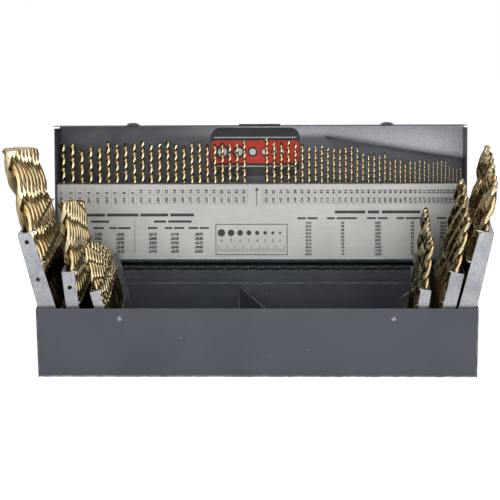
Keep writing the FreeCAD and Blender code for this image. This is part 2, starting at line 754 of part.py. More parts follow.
def number_bits(first, last):
    """Numbered bits from one place in the row to another."""
    row_y = PANEL_RECESS + ROW_BACK
    diameters, places = number_row()
    slopes = (
        (REST_DEEP - REST_MIDDLE) / ((ROW_END - ROW_START) / 2),
        (REST_MIDDLE - REST_SHALLOW) / ((ROW_END - ROW_START) / 2),
    )
    bits = []
    for i in range(first, last):
        slope = slopes[0] if places[i] <= (ROW_START + ROW_END) / 2 else slopes[1]
        foot = rest_height(places[i]) + slope * diameters[i] / 2
        large = i < NUMBER_LARGE_COUNT
        steps = NUMBER_LARGE_STEP_COUNT if large else NUMBER_SMALL_STEP_COUNT
        bit = twist_drill(diameters[i], NUMBER_BIT_SIDES, steps)
        bit.translate(Vector(places[i], row_y, foot))
        bits.append(lid_placed(bit))
    return Part.makeCompound(bits)


def bit_stop():
    """Angle strip across the lid's far corner that keeps the small bits in."""
    right_x = INNER_HALF_LENGTH - PANEL_SIDE_GAP
    left_x = right_x - STOP_LENGTH
    drop = (STOP_LEFT_HEIGHT - STOP_RIGHT_HEIGHT) / STOP_LENGTH
    back = LID_INNER_BACK
    front = back - STOP_DEPTH
    flange_outline = [
        Vector(left_x, back, STOP_LEFT_HEIGHT),
        Vector(right_x, back, STOP_RIGHT_HEIGHT),
        Vector(right_x, front, STOP_RIGHT_HEIGHT),
        Vector(left_x + STOP_BEVEL, front, STOP_LEFT_HEIGHT - drop * STOP_BEVEL),
    ]
    flange = prism(flange_outline, Vector(0, 0, STOP_SHEET))
    foot_start = left_x + STOP_LEAF
    leaf_outline = [
        Vector(left_x, back, STOP_LEFT_HEIGHT),
        Vector(right_x, back, STOP_RIGHT_HEIGHT),
        Vector(right_x, back, STOP_RIGHT_HEIGHT - STOP_LEAF),
        Vector(foot_start, back, STOP_LEFT_HEIGHT - STOP_LEAF - drop * STOP_LEAF),
    ]
    leaf = prism(leaf_outline, Vector(0, -STOP_SHEET, 0))
    return lid_placed(flange.fuse(leaf).removeSplitter())


# Twist drills

def bit_length(diameter):
    """Overall length of a jobber bit."""
    return min(
        BIT_LENGTH_BASE + BIT_LENGTH_SHARE * diameter,
        BIT_LONG_BASE + BIT_LONG_SHARE * diameter,
    )


def flute_length(diameter):
    """Length of the fluted part."""
    return min(
        FLUTE_BASE + FLUTE_SHARE * diameter,
        FLUTE_LONG_BASE + FLUTE_LONG_SHARE * diameter,
    )


def flute_section(radius, corners):
    """Section of the fluted part: two lands at full radius and two thin sides."""
    web = radius * WEB_SHARE
    if corners == THIN_BIT_SIDES:
        return [(radius, 0.0), (web, 90.0), (radius, 180.0), (web, 270.0)]
    return [
        (radius, -LAND_HALF_ANGLE), (radius, LAND_HALF_ANGLE), (web, 90.0),
        (radius, 180.0 - LAND_HALF_ANGLE), (radius, 180.0 + LAND_HALF_ANGLE), (web, 270.0),
    ]


def twist_drill(diameter, corners, steps):
    """A bit standing on its shank at the origin, its flutes wound in flat facets."""
    radius = diameter / 2
    length = bit_length(diameter)
    flutes = flute_length(diameter)
    point = radius / math.tan(math.radians(POINT_HALF_ANGLE))
    shank_top = length - flutes
    section = flute_section(radius, corners)
    spread = 360.0 / corners
    shank = [(radius, section[0][1] + spread * i) for i in range(corners)]
    rings = [(0.0, shank, 0.0)]
    run_out = 0.0
    if steps == 0:
        run_out = radius
        rings.append((shank_top, shank, 0.0))
        turn = 360.0 * (flutes - point - run_out) / (HELIX_LEAD_SHARE * diameter)
        steps = int(round(turn / HELIX_STEP_ANGLE))
    wound = flutes - point - run_out
    for i in range(steps + 1):
        rings.append((shank_top + run_out + wound * i / steps, section, -HELIX_STEP_ANGLE * i))
    levels = []
    for height, ring, turn in rings:
        level = []
        for r, angle in ring:
            bearing = math.radians(angle - turn)
            level.append(Vector(r * math.cos(bearing), r * math.sin(bearing), height))
        levels.append(level)
    return faceted(levels, Vector(0, 0, length))


def facet(a, b, c):
    """A flat three-cornered face."""
    return Part.Face(Part.makePolygon([a, b, c, a]))


# Leaves, drawn upright with the pivot axis at X and Z zero, the outer side at +U

class Leaf:
    """One hinged leaf of a fan and the bits that stand in it."""

    def __init__(self, name, side, lean, rim_inset, rank, diameters, corners, holes=(),
                 rest_rise=0, wing=(0, 0)):
        self.name = name
        self.side = side
        self.lean = lean
        self.pivot_z = rank["pivot"]
        self.top = rank["top"]
        self.second = rank["second"]
        self.foot_width = rank["foot_width"]
        self.top_width = rank["top_width"]
        self.overhang = rank["overhang"]
        self.flange_corner = rank["flange_corner"]
        self.row_gap = rank["row_gap"]
        self.hole_sides = rank["hole_sides"]
        self.diameters = diameters
        self.corners = corners
        self.holes = holes
        self.rest_rise = rest_rise
        self.wing = wing
        self.outer = self.foot_width / 2
        turn = math.radians(lean)
        rim_x = INNER_HALF_LENGTH - LEAF_STOP_GAP - rim_inset
        face_x = rim_x - (TRAY_HEIGHT - self.pivot_z) * math.tan(turn)
        self.pivot_x = side * (face_x - self.outer / math.cos(turn))

    def placed(self, shape):
        """Lean the leaf outwards and set it on its pivot."""
        shape.rotate(Vector(0, 0, 0), Vector(0, 1, 0), self.side * self.lean)
        shape.translate(Vector(self.pivot_x, 0, self.pivot_z))
        return shape

    def inner_edge(self, height):
        """Where the flange's inner edge is at a height above the pivot."""
        share = height / self.top
        width = self.foot_width + (self.top_width - self.foot_width) * share
        return self.outer - width

    def seats(self):
        """Each bit's diameter and its place along the leaf."""
        inside = LEAF_LENGTH - 2 * LEAF_SHEET
        gap = (inside - sum(self.diameters)) / (len(self.diameters) + 1)
        place = -HALF_LEAF + LEAF_SHEET
        seats = []
        for diameter in self.diameters:
            place += gap + diameter / 2
            seats.append((diameter, place))
            place += diameter / 2
        return seats

    def row_line(self):
        """Distance of the row of bits from the pivot line, across the leaf."""
        widest = max(self.diameters) / 2
        return self.outer - LEAF_SHEET - self.row_gap - widest

    def rest(self, y):
        """Height of the rest's upper face above the pivot at a place along the leaf."""
        return LEAF_SEAT + self.rest_rise * (y + HALF_LEAF) / LEAF_LENGTH

    def flange_outline(self):
        """Outline of an end flange, out from and up from the pivot."""
        foot = -LEAF_FOOT_DROP
        corner = LEAF_FOOT_DROP / 2
        radius = self.flange_corner
        inner = self.inner_edge(self.top - radius)
        outline = [(self.outer, self.top)]
        for i in range(CORNER_STEP_COUNT + 1):
            turn = math.pi / 2 * i / CORNER_STEP_COUNT
            across = inner + radius * (1 - math.sin(turn))
            outline.append((across, self.top - radius * (1 - math.cos(turn))))
        return outline + [
            (self.inner_edge(0), 0),
            (self.inner_edge(0), foot + corner),
            (self.inner_edge(0) + corner, foot),
            (self.outer - corner, foot),
            (self.outer, foot + corner),
        ]

    def wing_outline(self):
        """Outline of the back flange's wing: up to the top shelf, or sloped off lower down."""
        width, height = self.wing
        inner = self.inner_edge(0)
        if height >= self.top:
            crown = [(self.inner_edge(self.top) - width, self.top), (self.outer, self.top)]
        else:
            crown = [(inner - width, height), (inner, height + width), (self.outer, height + width)]
        return [(self.outer, 0), (inner - width, 0)] + crown

    def frame(self):
        """Web, two end flanges and the foot shelf, folded from one sheet."""
        side = self.side
        web_in = self.outer - LEAF_SHEET
        foot = -LEAF_FOOT_DROP
        corner = LEAF_FOOT_DROP / 2
        x0, x1 = sorted((side * web_in, side * self.outer))
        web = box(x0, -HALF_LEAF, foot + corner, x1, HALF_LEAF, self.top)
        outlines = [(-HALF_LEAF, self.flange_outline()), (HALF_LEAF - LEAF_SHEET, self.flange_outline())]
        if self.wing[0] > 0:
            outlines.append((HALF_LEAF - LEAF_SHEET, self.wing_outline()))
        flanges = []
        for flange_y, outline in outlines:
            points = [Vector(side * u, flange_y, w) for u, w in outline]
            flanges.append(prism(points, Vector(0, LEAF_SHEET, 0)))
        inner = side * self.inner_edge(0)
        front, back = self.rest(-HALF_LEAF), self.rest(HALF_LEAF)
        rest_outline = [
            Vector(inner, -HALF_LEAF, front - LEAF_SHEET), Vector(inner, HALF_LEAF, back - LEAF_SHEET),
            Vector(inner, HALF_LEAF, back), Vector(inner, -HALF_LEAF, front),
        ]
        rest = prism(rest_outline, Vector(side * self.outer - inner, 0, 0))
        frame = web.fuse(flanges + [rest])
        cutters = []
        for way in (-1, 1):
            y0, y1 = sorted((way * (HALF_LEAF - LEAF_SHEET), way * (HALF_LEAF + OVERRUN)))
            cutters.append(pivot_prism(0, 0, y0, y1, PIVOT_RADIUS))
        for height in self.holes:
            hole_u = (self.outer + self.inner_edge(height)) / 2
            corners = [
                Vector(side * hole_u + a, -HALF_LEAF - OVERRUN, height + b)
                for a, b in polygon(FLANGE_HOLE_SIDES, FLANGE_HOLE_RADIUS, 0)
            ]
            cutters.append(prism(corners, Vector(0, LEAF_SHEET + 2 * OVERRUN, 0)))
        return self.placed(drilled(frame, cutters))

    def shelf(self, height, sides):
        """Shelf between the flanges, standing in past them, with a hole for every bit."""
        side = self.side
        inside_y = HALF_LEAF - LEAF_SHEET
        web_in = self.outer - LEAF_SHEET
        edge = self.inner_edge(height) - self.overhang
        radius = min(SHELF_CORNER_RADIUS, self.overhang + LEAF_SHEET)
        slant = radius * (1 - math.cos(math.pi / 4))
        outline = [
            (web_in, -inside_y), (edge + radius, -inside_y),
            (edge + slant, -inside_y + slant), (edge, -inside_y + radius),
            (edge, inside_y - radius), (edge + slant, inside_y - slant),
            (edge + radius, inside_y), (web_in, inside_y),
        ]
        under = height - LEAF_SHEET
        points = [Vector(side * u, v, under) for u, v in outline]
        plate = prism(points, Vector(0, 0, LEAF_SHEET))
        row = side * self.row_line()
        cutters = []
        for diameter, y in self.seats():
            apothem = diameter / 2 + HOLE_CLEARANCE / 2
            corners = [
                Vector(row + a, y + b, under - OVERRUN)
                for a, b in polygon(sides, apothem, 0)
            ]
            cutters.append(prism(corners, Vector(0, 0, LEAF_SHEET + 2 * OVERRUN)))
        return self.placed(drilled(plate, cutters))

    def bits(self):
        """The row of bits, one solid each."""
        row = self.side * self.row_line()
        bits = []
        for diameter, y in self.seats():
            bit = twist_drill(diameter, self.corners, 0)
            bit.translate(Vector(row, y, self.rest(y + diameter / 2)))
            bits.append(self.placed(bit))
        return Part.makeCompound(bits)

    def pivots(self):
        """Shouldered pins fixed in the end flanges that turn in the cradle."""
        end = CRADLE_OUTER_Y - PIVOT_END_GAP
        shoulder = CRADLE_INNER_Y - PIVOT_END_GAP
        inside = HALF_LEAF - LEAF_SHEET
        pin_apothem = PIVOT_RADIUS * math.cos(math.pi / PIVOT_SIDES)
        pins = []
        for way in (-1, 1):
            spans = (
                (inside, HALF_LEAF, PIVOT_RADIUS),
                (HALF_LEAF, shoulder, PIVOT_SHOULDER_RADIUS),
                (shoulder, end, pin_apothem),
            )
            pieces = []
            for near, far, apothem in spans:
                y0, y1 = sorted((way * near, way * far))
                pieces.append(pivot_prism(0, 0, y0, y1, apothem))
            pin = pieces[0].fuse(pieces[1:]).removeSplitter()
            pins.append(self.placed(pin))
        return Part.makeCompound(pins)


def row(largest, shares):
    """A row's diameters, front to back."""
    return [largest * share for share in shares]


OUTER_RANK = {
    "pivot": OUTER_PIVOT_HEIGHT, "top": OUTER_TOP, "second": OUTER_SECOND,
    "foot_width": OUTER_FOOT_WIDTH, "top_width": OUTER_TOP_WIDTH, "overhang": OUTER_OVERHANG,
    "flange_corner": OUTER_FLANGE_CORNER, "row_gap": OUTER_ROW_GAP,
    "hole_sides": OUTER_TOP_HOLE_SIDES,
}
MIDDLE_RANK = {
    "pivot": MIDDLE_PIVOT_HEIGHT, "top": MIDDLE_TOP, "second": MIDDLE_SECOND,
    "foot_width": MIDDLE_FOOT_WIDTH, "top_width": MIDDLE_TOP_WIDTH, "overhang": MIDDLE_OVERHANG,
    "flange_corner": MIDDLE_FLANGE_CORNER, "row_gap": MIDDLE_ROW_GAP,
    "hole_sides": TOP_HOLE_SIDES,
}
INNER_RANK = {
    "pivot": INNER_PIVOT_HEIGHT, "top": INNER_TOP, "second": INNER_SECOND,
    "foot_width": INNER_FOOT_WIDTH, "top_width": INNER_TOP_WIDTH, "overhang": INNER_OVERHANG,
    "flange_corner": INNER_FLANGE_CORNER, "row_gap": INNER_ROW_GAP,
    "hole_sides": TOP_HOLE_SIDES,
}

LEAVES = [
    Leaf("left_outer", -1, LEFT_LEAN_ANGLES[0], 0, OUTER_RANK,
         row(FRACTION_LARGEST, FRACTION_OUTER_SHARES), THICK_BIT_SIDES,
         holes=(OUTER_HOLE_HIGH, OUTER_HOLE_LOW)),
    Leaf("left_middle", -1, LEFT_LEAN_ANGLES[1], LEFT_MIDDLE_INSET, MIDDLE_RANK,
         row(FRACTION_LARGEST, FRACTION_MIDDLE_SHARES), THIN_BIT_SIDES, holes=(MIDDLE_HOLE,)),
    Leaf("left_inner", -1, LEFT_LEAN_ANGLES[2], LEFT_INNER_INSET, INNER_RANK,
         row(FRACTION_LARGEST, FRACTION_INNER_SHARES), THIN_BIT_SIDES,
         rest_rise=LEFT_INNER_REST_RISE, wing=(LEFT_WING_WIDTH, INNER_TOP)),
    Leaf("right_outer", 1, RIGHT_LEAN_ANGLES[0], 0, OUTER_RANK,
         row(LETTER_LARGEST, LETTER_OUTER_SHARES), THICK_BIT_SIDES),
    Leaf("right_middle", 1, RIGHT_LEAN_ANGLES[1], RIGHT_MIDDLE_INSET, MIDDLE_RANK,
         row(LETTER_LARGEST, LETTER_MIDDLE_SHARES), THIN_BIT_SIDES),
    Leaf("right_inner", 1, RIGHT_LEAN_ANGLES[2], RIGHT_INNER_INSET, INNER_RANK,
         row(LETTER_LARGEST, LETTER_INNER_SHARES), THIN_BIT_SIDES,
         wing=(RIGHT_WING_WIDTH, RIGHT_WING_HEIGHT)),
]


def main():
    """Build and write every node."""
    os.makedirs("parts", exist_ok=True)
    save("base_tray", base_tray())
    save("base_end_left", base_end(-1))
    save("base_end_right", base_end(1))
    save("fan_cradle", fan_cradle())
    save("divider", divider())
    save("hinge_leaf_base", hinge_leaf_base())
    save("hinge_leaf_lid", lid_placed(hinge_leaf_lid()))
    save("hinge_pin", hinge_pin())
    save("lid_shell", lid_shell())
    save("number_panel", number_panel())
    save("number_rest", number_rest())
    save("number_bits_large", number_bits(0, NUMBER_LARGE_COUNT))
    save("number_bits_small", number_bits(NUMBER_LARGE_COUNT, len(NUMBER_SHARES)))
    save("bit_stop", bit_stop())
    for leaf in LEAVES:
        save(leaf.name + "_frame", leaf.frame())
        save(leaf.name + "_top_shelf", leaf.shelf(leaf.top, leaf.hole_sides))
        save(leaf.name + "_second_shelf", leaf.shelf(leaf.second, SECOND_HOLE_SIDES))
        save(leaf.name + "_bits", leaf.bits())
        save(leaf.name + "_pivots", leaf.pivots())
        print(leaf.name, "pivot x", round(leaf.pivot_x, 3), "z", leaf.pivot_z)


main()
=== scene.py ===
"""Looks of a hinged sheet-steel drill index case that stands open with its fans of bits folded out.

Sizes are written in millimetres in the case's own frame: +X right, +Y back, +Z up, the origin under
the middle of the tray. Every finished piece keeps its place in its mesh.
"""

import json
import logging
import math
import random
from contextlib import contextmanager
from dataclasses import dataclass, field
from enum import Enum
from typing import Callable, Iterator, Sequence

import bmesh
import bpy
import numpy as np
from mathutils import Matrix, Vector

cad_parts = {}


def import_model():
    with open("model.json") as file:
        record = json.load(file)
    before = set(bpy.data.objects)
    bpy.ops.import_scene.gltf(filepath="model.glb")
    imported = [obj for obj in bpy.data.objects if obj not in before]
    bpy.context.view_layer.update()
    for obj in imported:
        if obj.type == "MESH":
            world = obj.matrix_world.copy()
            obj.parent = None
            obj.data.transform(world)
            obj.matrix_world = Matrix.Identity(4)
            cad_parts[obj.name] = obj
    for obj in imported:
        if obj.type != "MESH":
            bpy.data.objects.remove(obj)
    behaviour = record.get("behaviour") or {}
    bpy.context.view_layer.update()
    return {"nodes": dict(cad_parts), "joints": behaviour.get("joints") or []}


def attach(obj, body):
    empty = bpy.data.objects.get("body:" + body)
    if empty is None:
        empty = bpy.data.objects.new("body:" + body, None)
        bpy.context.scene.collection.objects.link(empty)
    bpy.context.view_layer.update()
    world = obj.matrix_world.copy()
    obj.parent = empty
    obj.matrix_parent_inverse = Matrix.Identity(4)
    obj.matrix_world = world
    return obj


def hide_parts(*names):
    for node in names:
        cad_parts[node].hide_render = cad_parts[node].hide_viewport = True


MM = 0.001
INCH = 25.4
LOG = logging.getLogger("drill_index")

Object = bpy.types.Object
Material = bpy.types.Material
Socket = bpy.types.NodeSocket
Point = tuple[float, float, float]
Span = tuple[float, float]
Test = Callable[[Vector, Vector], bool]

# Shared by several pieces: the thickness of the folded sheets, the middle of the hinge's axis, how far the lid leans
# back, and the angles above which an edge is sharp and above which an edge of a bit stays crisp
SHEET = 0.9
HINGE_LINE: Point = (0, 64.65, 62.6)
LID_LEAN = -11.2
SHARP = 50.0
DRILL_CREASE = 40.0


class Part(Enum):
    """The kind of mesh element that a pick works on."""

    VERTS = "VERT"
    EDGES = "EDGE"
    FACES = "FACE"


class Body(Enum):
    """The bodies of the case that move apart."""

    CASE = "case"
    LID = "lid"
    LEFT_OUTER = "left_outer"
    LEFT_MIDDLE = "left_middle"
    LEFT_INNER = "left_inner"
    RIGHT_OUTER = "right_outer"
    RIGHT_MIDDLE = "right_middle"
    RIGHT_INNER = "right_inner"


# Workshop: small steps that the pieces are modelled with


def only(*objects: Object) -> None:
    """Select these objects alone and make the first one active."""
    bpy.ops.object.select_all(action="DESELECT")
    for item in objects:
        item.select_set(True)
    bpy.context.view_layer.objects.active = objects[0]


@contextmanager
def editing(piece: Object, part: Part = Part.FACES, whole: bool = False) -> Iterator[None]:
    """Open a piece in edit mode, and close it again.

    Args:
        piece: The piece to shape.
        part: The kind of element to select in.
        whole: Whether all of it is selected, rather than nothing.
    """
    only(piece)
    bpy.ops.object.mode_set(mode="EDIT")
    bpy.ops.mesh.select_mode(type=part.value)
    bpy.ops.mesh.select_all(action="SELECT" if whole else "DESELECT")
    yield
    bpy.ops.object.mode_set(mode="OBJECT")


def pick(part: Part, test: Test) -> None:
    """Select, in edit mode, the elements that pass a test and no others.

    Args:
        part: The kind of element to look at.
        test: Takes an element's middle in millimetres and its direction.
    """
    bpy.ops.mesh.select_all(action="DESELECT")
    bpy.ops.mesh.select_mode(type=part.value)
    mesh = bmesh.from_edit_mesh(bpy.context.edit_object.data)
    for item in {Part.VERTS: mesh.verts, Part.EDGES: mesh.edges, Part.FACES: mesh.faces}[part]:
        if part is Part.EDGES:
            ends = [corner.co for corner in item.verts]
            middle, way = (ends[0] + ends[1]) / 2, (ends[1] - ends[0]).normalized()
        elif part is Part.FACES:
            middle, way = item.calc_center_median(), item.normal
        else:
            middle, way = item.co, item.normal
        item.select_set(test(middle / MM, way))
    mesh.select_flush_mode()
    bmesh.update_edit_mesh(bpy.context.edit_object.data)


def settle(piece: Object, place: Matrix | None = None) -> Object:
    """Move a piece by a matrix in metres, where one is given, and put its place into its mesh."""
    if place is not None:
        piece.matrix_world = place @ piece.matrix_world
    only(piece)
    bpy.ops.object.transform_apply(location=True, rotation=True, scale=True)
    return piece


def block(name: str, low: Point, high: Point) -> Object:
    """A box between two corners, as the start of a piece.

    Args:
        name: The object's name.
        low: The lowest corner, millimetres.
        high: The highest corner, millimetres.

    Returns:
        The box.
    """
    size = [(b - a) * MM for a, b in zip(low, high)]
    middle = [(a + b) / 2 * MM for a, b in zip(low, high)]
    bpy.ops.mesh.primitive_cube_add(size=1, location=middle, scale=size)
    piece = bpy.context.object
    piece.name = name
    return settle(piece)


def disc(sides: int, radius: float, place: Sequence[float], turn: Point = (0, 0, 0)) -> Object:
    """A flat round face, or one of fewer sides, as the start of a piece, given in metres."""
    bpy.ops.mesh.primitive_circle_add(vertices=sides, radius=radius, fill_type="NGON", location=place, rotation=turn)
    return settle(bpy.context.object)


def rod(name: str, start: Point, end: Point, radius: float, sides: int) -> Object:
    """A round bar between two points, as the start of a piece or as a cutter.

    Args:
        name: The object's name.
        start: The middle of its first end, millimetres.
        end: The middle of its last end, millimetres.
        radius: Its radius, millimetres.
        sides: How many sides its circle has.

    Returns:
        The bar.
    """
    first, last = Vector(start) * MM, Vector(end) * MM
    bpy.ops.mesh.primitive_cylinder_add(
        vertices=sides, radius=radius * MM, depth=(last - first).length,
        location=(first + last) / 2, rotation=(last - first).to_track_quat("Z", "Y").to_euler(),
    )
    piece = bpy.context.object
    piece.name = name
    return settle(piece)


def shaped(piece: Object, kind: str, **settings: object) -> Object:
    """Add a modifier with its settings and apply it.

    Args:
        piece: The piece to finish.
        kind: The modifier's type.
        **settings: Its values.

    Returns:
        The piece.
    """
    only(piece)
    modifier = piece.modifiers.new(kind, kind)
    for key, value in settings.items():
        setattr(modifier, key, value)
    bpy.ops.object.modifier_apply(modifier=modifier.name)
    return piece


def joined(name: str, pieces: Sequence[Object]) -> Object:
    """Join pieces into one object of a name."""
    only(*pieces)
    if len(pieces) > 1:
        bpy.ops.object.join()
    pieces[0].name = name
    return pieces[0]


def drilled(piece: Object, cutters: Sequence[Object]) -> Object:
    """Take cutters away from a piece, leaving clean holes and no cutters."""
    tool = joined("cutters", cutters)
    shaped(piece, "BOOLEAN", operation="DIFFERENCE", solver="EXACT", object=tool)
    bpy.data.objects.remove(tool)
    return piece


def smoothed(piece: Object, angle: float = 45.0) -> Object:
    """Shade a piece smooth except across creases sharper than an angle in degrees."""
    only(piece)
    bpy.ops.object.shade_smooth_by_angle(angle=math.radians(angle))
    return piece


def noted(piece: Object, name: str, values: Sequence[float], domain: str = "FACE") -> Object:
    """Note a number to each face or point of a piece under a name, for its finish to read."""
    marks = piece.data.attributes.get(name) or piece.data.attributes.new(name, "FLOAT", domain)
    marks.data.foreach_set("value", np.asarray(values, np.float32))
    return piece


def rimmed(piece: Object, width: float) -> Object:
    """Note on each face whether it is a narrow strip along a broken edge, where a finish wears first."""
    narrow = []
    for face in piece.data.polygons:
        spots = [piece.data.vertices[i].co for i in face.vertices]
        longest = max((a - b).length for a, b in zip(spots, spots[1:] + spots[:1]))
        narrow.append(face.area / longest < 1.3 * width * MM)
    return noted(piece, "rim", narrow)


def eased(piece: Object, width: float = 0.2) -> Object:
    """Break a piece's sharp edges, note where they are and shade the piece smooth.

    Args:
        piece: The piece to ease.
        width: The bevel's width, millimetres.

    Returns:
        The piece.
    """
    shaped(
        piece, "BEVEL", width=width * MM, segments=2, limit_method="ANGLE",
        angle_limit=math.radians(SHARP), use_clamp_overlap=True,
    )
    smoothed(rimmed(piece, width))
    return shaped(piece, "WEIGHTED_NORMAL", keep_sharp=True, weight=60)


def copied(piece: Object, place: Matrix) -> Object:
    """A copy of a piece with its own mesh, moved by a matrix in metres."""
    twin = piece.copy()
    twin.data = piece.data.copy()
    bpy.context.collection.objects.link(twin)
    twin.data.transform(place)
    return twin


def refined(node: Object, name: str) -> Object:
    """A smooth copy of a solid whose shape is right, merged and with its edges eased.

    Args:
        node: The solid to copy.
        name: The copy's name.

    Returns:
        The copy.
    """
    twin = copied(node, Matrix.Identity(4))
    twin.name = name
    twin.parent = None
    for key in list(twin.keys()):
        del twin[key]
    with editing(twin, Part.VERTS, whole=True):
        bpy.ops.mesh.remove_doubles(threshold=0.001 * MM)
        bpy.ops.mesh.dissolve_limited(angle_limit=math.radians(0.5))
    return eased(twin)


def round_off(part: Part, radius: float, segments: int, test: Test) -> None:
    """Round the picked edges, or the picked corners of open flat sheets, by a radius in millimetres, in edit mode."""
    pick(part, test)
    bpy.ops.mesh.bevel(offset=radius * MM, segments=segments, affect="EDGES" if part is Part.EDGES else "VERTICES")


def near(value: float, target: float) -> bool:
    """Whether two lengths agree to a hundredth of a millimetre."""
    return abs(value - target) < 0.01


def at(place: Sequence[float]) -> Matrix:
    """The shift to a place given in millimetres."""
    return Matrix.Translation(Vector(place) * MM)


def raised(way: Point, share: Point | None = None, centre: Sequence[float] = (0, 0, 0)) -> None:
    """Extrude the selected faces, in edit mode, and scale them about a centre where asked."""
    bpy.ops.mesh.extrude_region_move(TRANSFORM_OT_translate={"value": way})
    if share:
        bpy.ops.transform.resize(value=share, center_override=centre)


def reshaped(move: Callable[[Vector], None]) -> None:
    """Let a function move each corner of the selected faces, in edit mode."""
    mesh = bmesh.from_edit_mesh(bpy.context.edit_object.data)
    for corner in {corner for face in mesh.faces if face.select for corner in face.verts}:
        move(corner.co)
    bmesh.update_edit_mesh(bpy.context.edit_object.data)


# Finishes


class Tree:
    """A node tree, with short calls that add nodes and join them."""

    def __init__(self, tree: bpy.types.NodeTree) -> None:
        """Work on this tree."""
        self.tree = tree

    def node(
        self, kind: str, *values: object, settings: dict[str, object] | None = None, **inputs: object
    ) -> bpy.types.Node:
        """Add a node.

        Args:
            kind: The node's type.
            *values: Values or sockets for its first inputs.
            settings: Values of the node itself.
            **inputs: Values or sockets for its inputs, by name.

        Returns:
            The node.
        """
        made = self.tree.nodes.new(kind)
        for key, value in (settings or {}).items():
            setattr(made, key, value)
        for target, value in zip(made.inputs, values):
            self.feed(target, value)
        for key, value in inputs.items():
            self.feed(made.inputs[key.replace("_", " ")], value)
        return made

    def feed(self, target: Socket, value: object) -> None:
        """Give an input a value or a link."""
        if isinstance(value, Socket):
            self.tree.links.new(value, target)
        else:
            target.default_value = value

    def curve(self, value: object, low: float, high: float, bottom: float = 0.0, top: float = 1.0) -> Socket:
        """A value eased from one range to another and held at its ends."""
        settings = {"interpolation_type": "SMOOTHSTEP"}
        return self.node("ShaderNodeMapRange", value, low, high, bottom, top, settings=settings).outputs[0]

    def math(self, operation: str, first: object, second: object) -> Socket:
        """Two numbers combined."""
        return self.node("ShaderNodeMath", first, second, settings={"operation": operation}).outputs[0]

    def product(self, first: object, *others: object) -> object:
        """Numbers multiplied together."""
        for other in others:
            first = self.math("MULTIPLY", first, other)
        return first

    def switch(self, share: object, first: Socket, second: Socket) -> Socket:
        """One shader where a share is nought and another where it is one."""
        return self.node("ShaderNodeMixShader", share, first, second).outputs[0]


class Recipe(Tree):
    """A material's node tree, with its patterns laid over each piece in the case's own frame."""

    def __init__(self, name: str) -> None:
        """Start a material of this name."""
        self.material: Material = bpy.data.materials.new(name)
        self.material.use_nodes = True
        super().__init__(self.material.node_tree)
        self.shader = self.tree.nodes["Principled BSDF"]
        self.place = self.node("ShaderNodeTexCoord").outputs["Object"]

    def noise(self, scale: float, detail: float, stretch: Point = (1, 1, 1)) -> Socket:
        """Noise with a number of cells to the metre, stretched along an axis where asked."""
        spread = self.node("ShaderNodeMapping", Vector=self.place, Scale=stretch).outputs[0]
        return self.node("ShaderNodeTexNoise", Vector=spread, Scale=scale, Detail=detail).outputs[0]

    def cloud(self, scale: float, detail: float, *span: float) -> Socket:
        """Noise eased from one range to another."""
        return self.curve(self.noise(scale, detail), *span)

    def blend(self, share: object, first: object, second: object) -> Socket:
        """Two colours mixed by a share."""
        made = self.node("ShaderNodeMix", share, settings={"data_type": "RGBA"})
        self.feed(made.inputs[6], first)
        self.feed(made.inputs[7], second)
        return made.outputs[2]

    def bump(self, height: object, strength: float, depth: float) -> None:
        """Raise the surface by a height, its depth in millimetres."""
        made = self.node("ShaderNodeBump", Height=height, Strength=strength, Distance=depth * MM)
        self.feed(self.shader.inputs["Normal"], made.outputs[0])

    def mark(self, name: str) -> Socket:
        """A number noted on the mesh under a name."""
        return self.node("ShaderNodeAttribute", settings={"attribute_name": name}).outputs["Fac"]

    def finish(self, colour: object, roughness: object, **constants: object) -> Material:
        """Feed the shader.

        Args:
            colour: The base colour.
            roughness: The roughness.
            **constants: Numbers set on the shader's own sockets.

        Returns:
            The material.
        """
        self.feed(self.shader.inputs["Base Color"], colour)
        self.feed(self.shader.inputs["Roughness"], roughness)
        for key, value in constants.items():
            self.shader.inputs[key.replace("_", " ")].default_value = value
        return self.material


def tone(colour: Point, lift: float = 0.0) -> tuple[float, ...]:
    """A colour given as it shows on screen, 0 to 255, lifted by an amount and made linear."""
    return tuple([(max(c + lift, 0) / 255) ** 2.2 for c in colour] + [1.0])


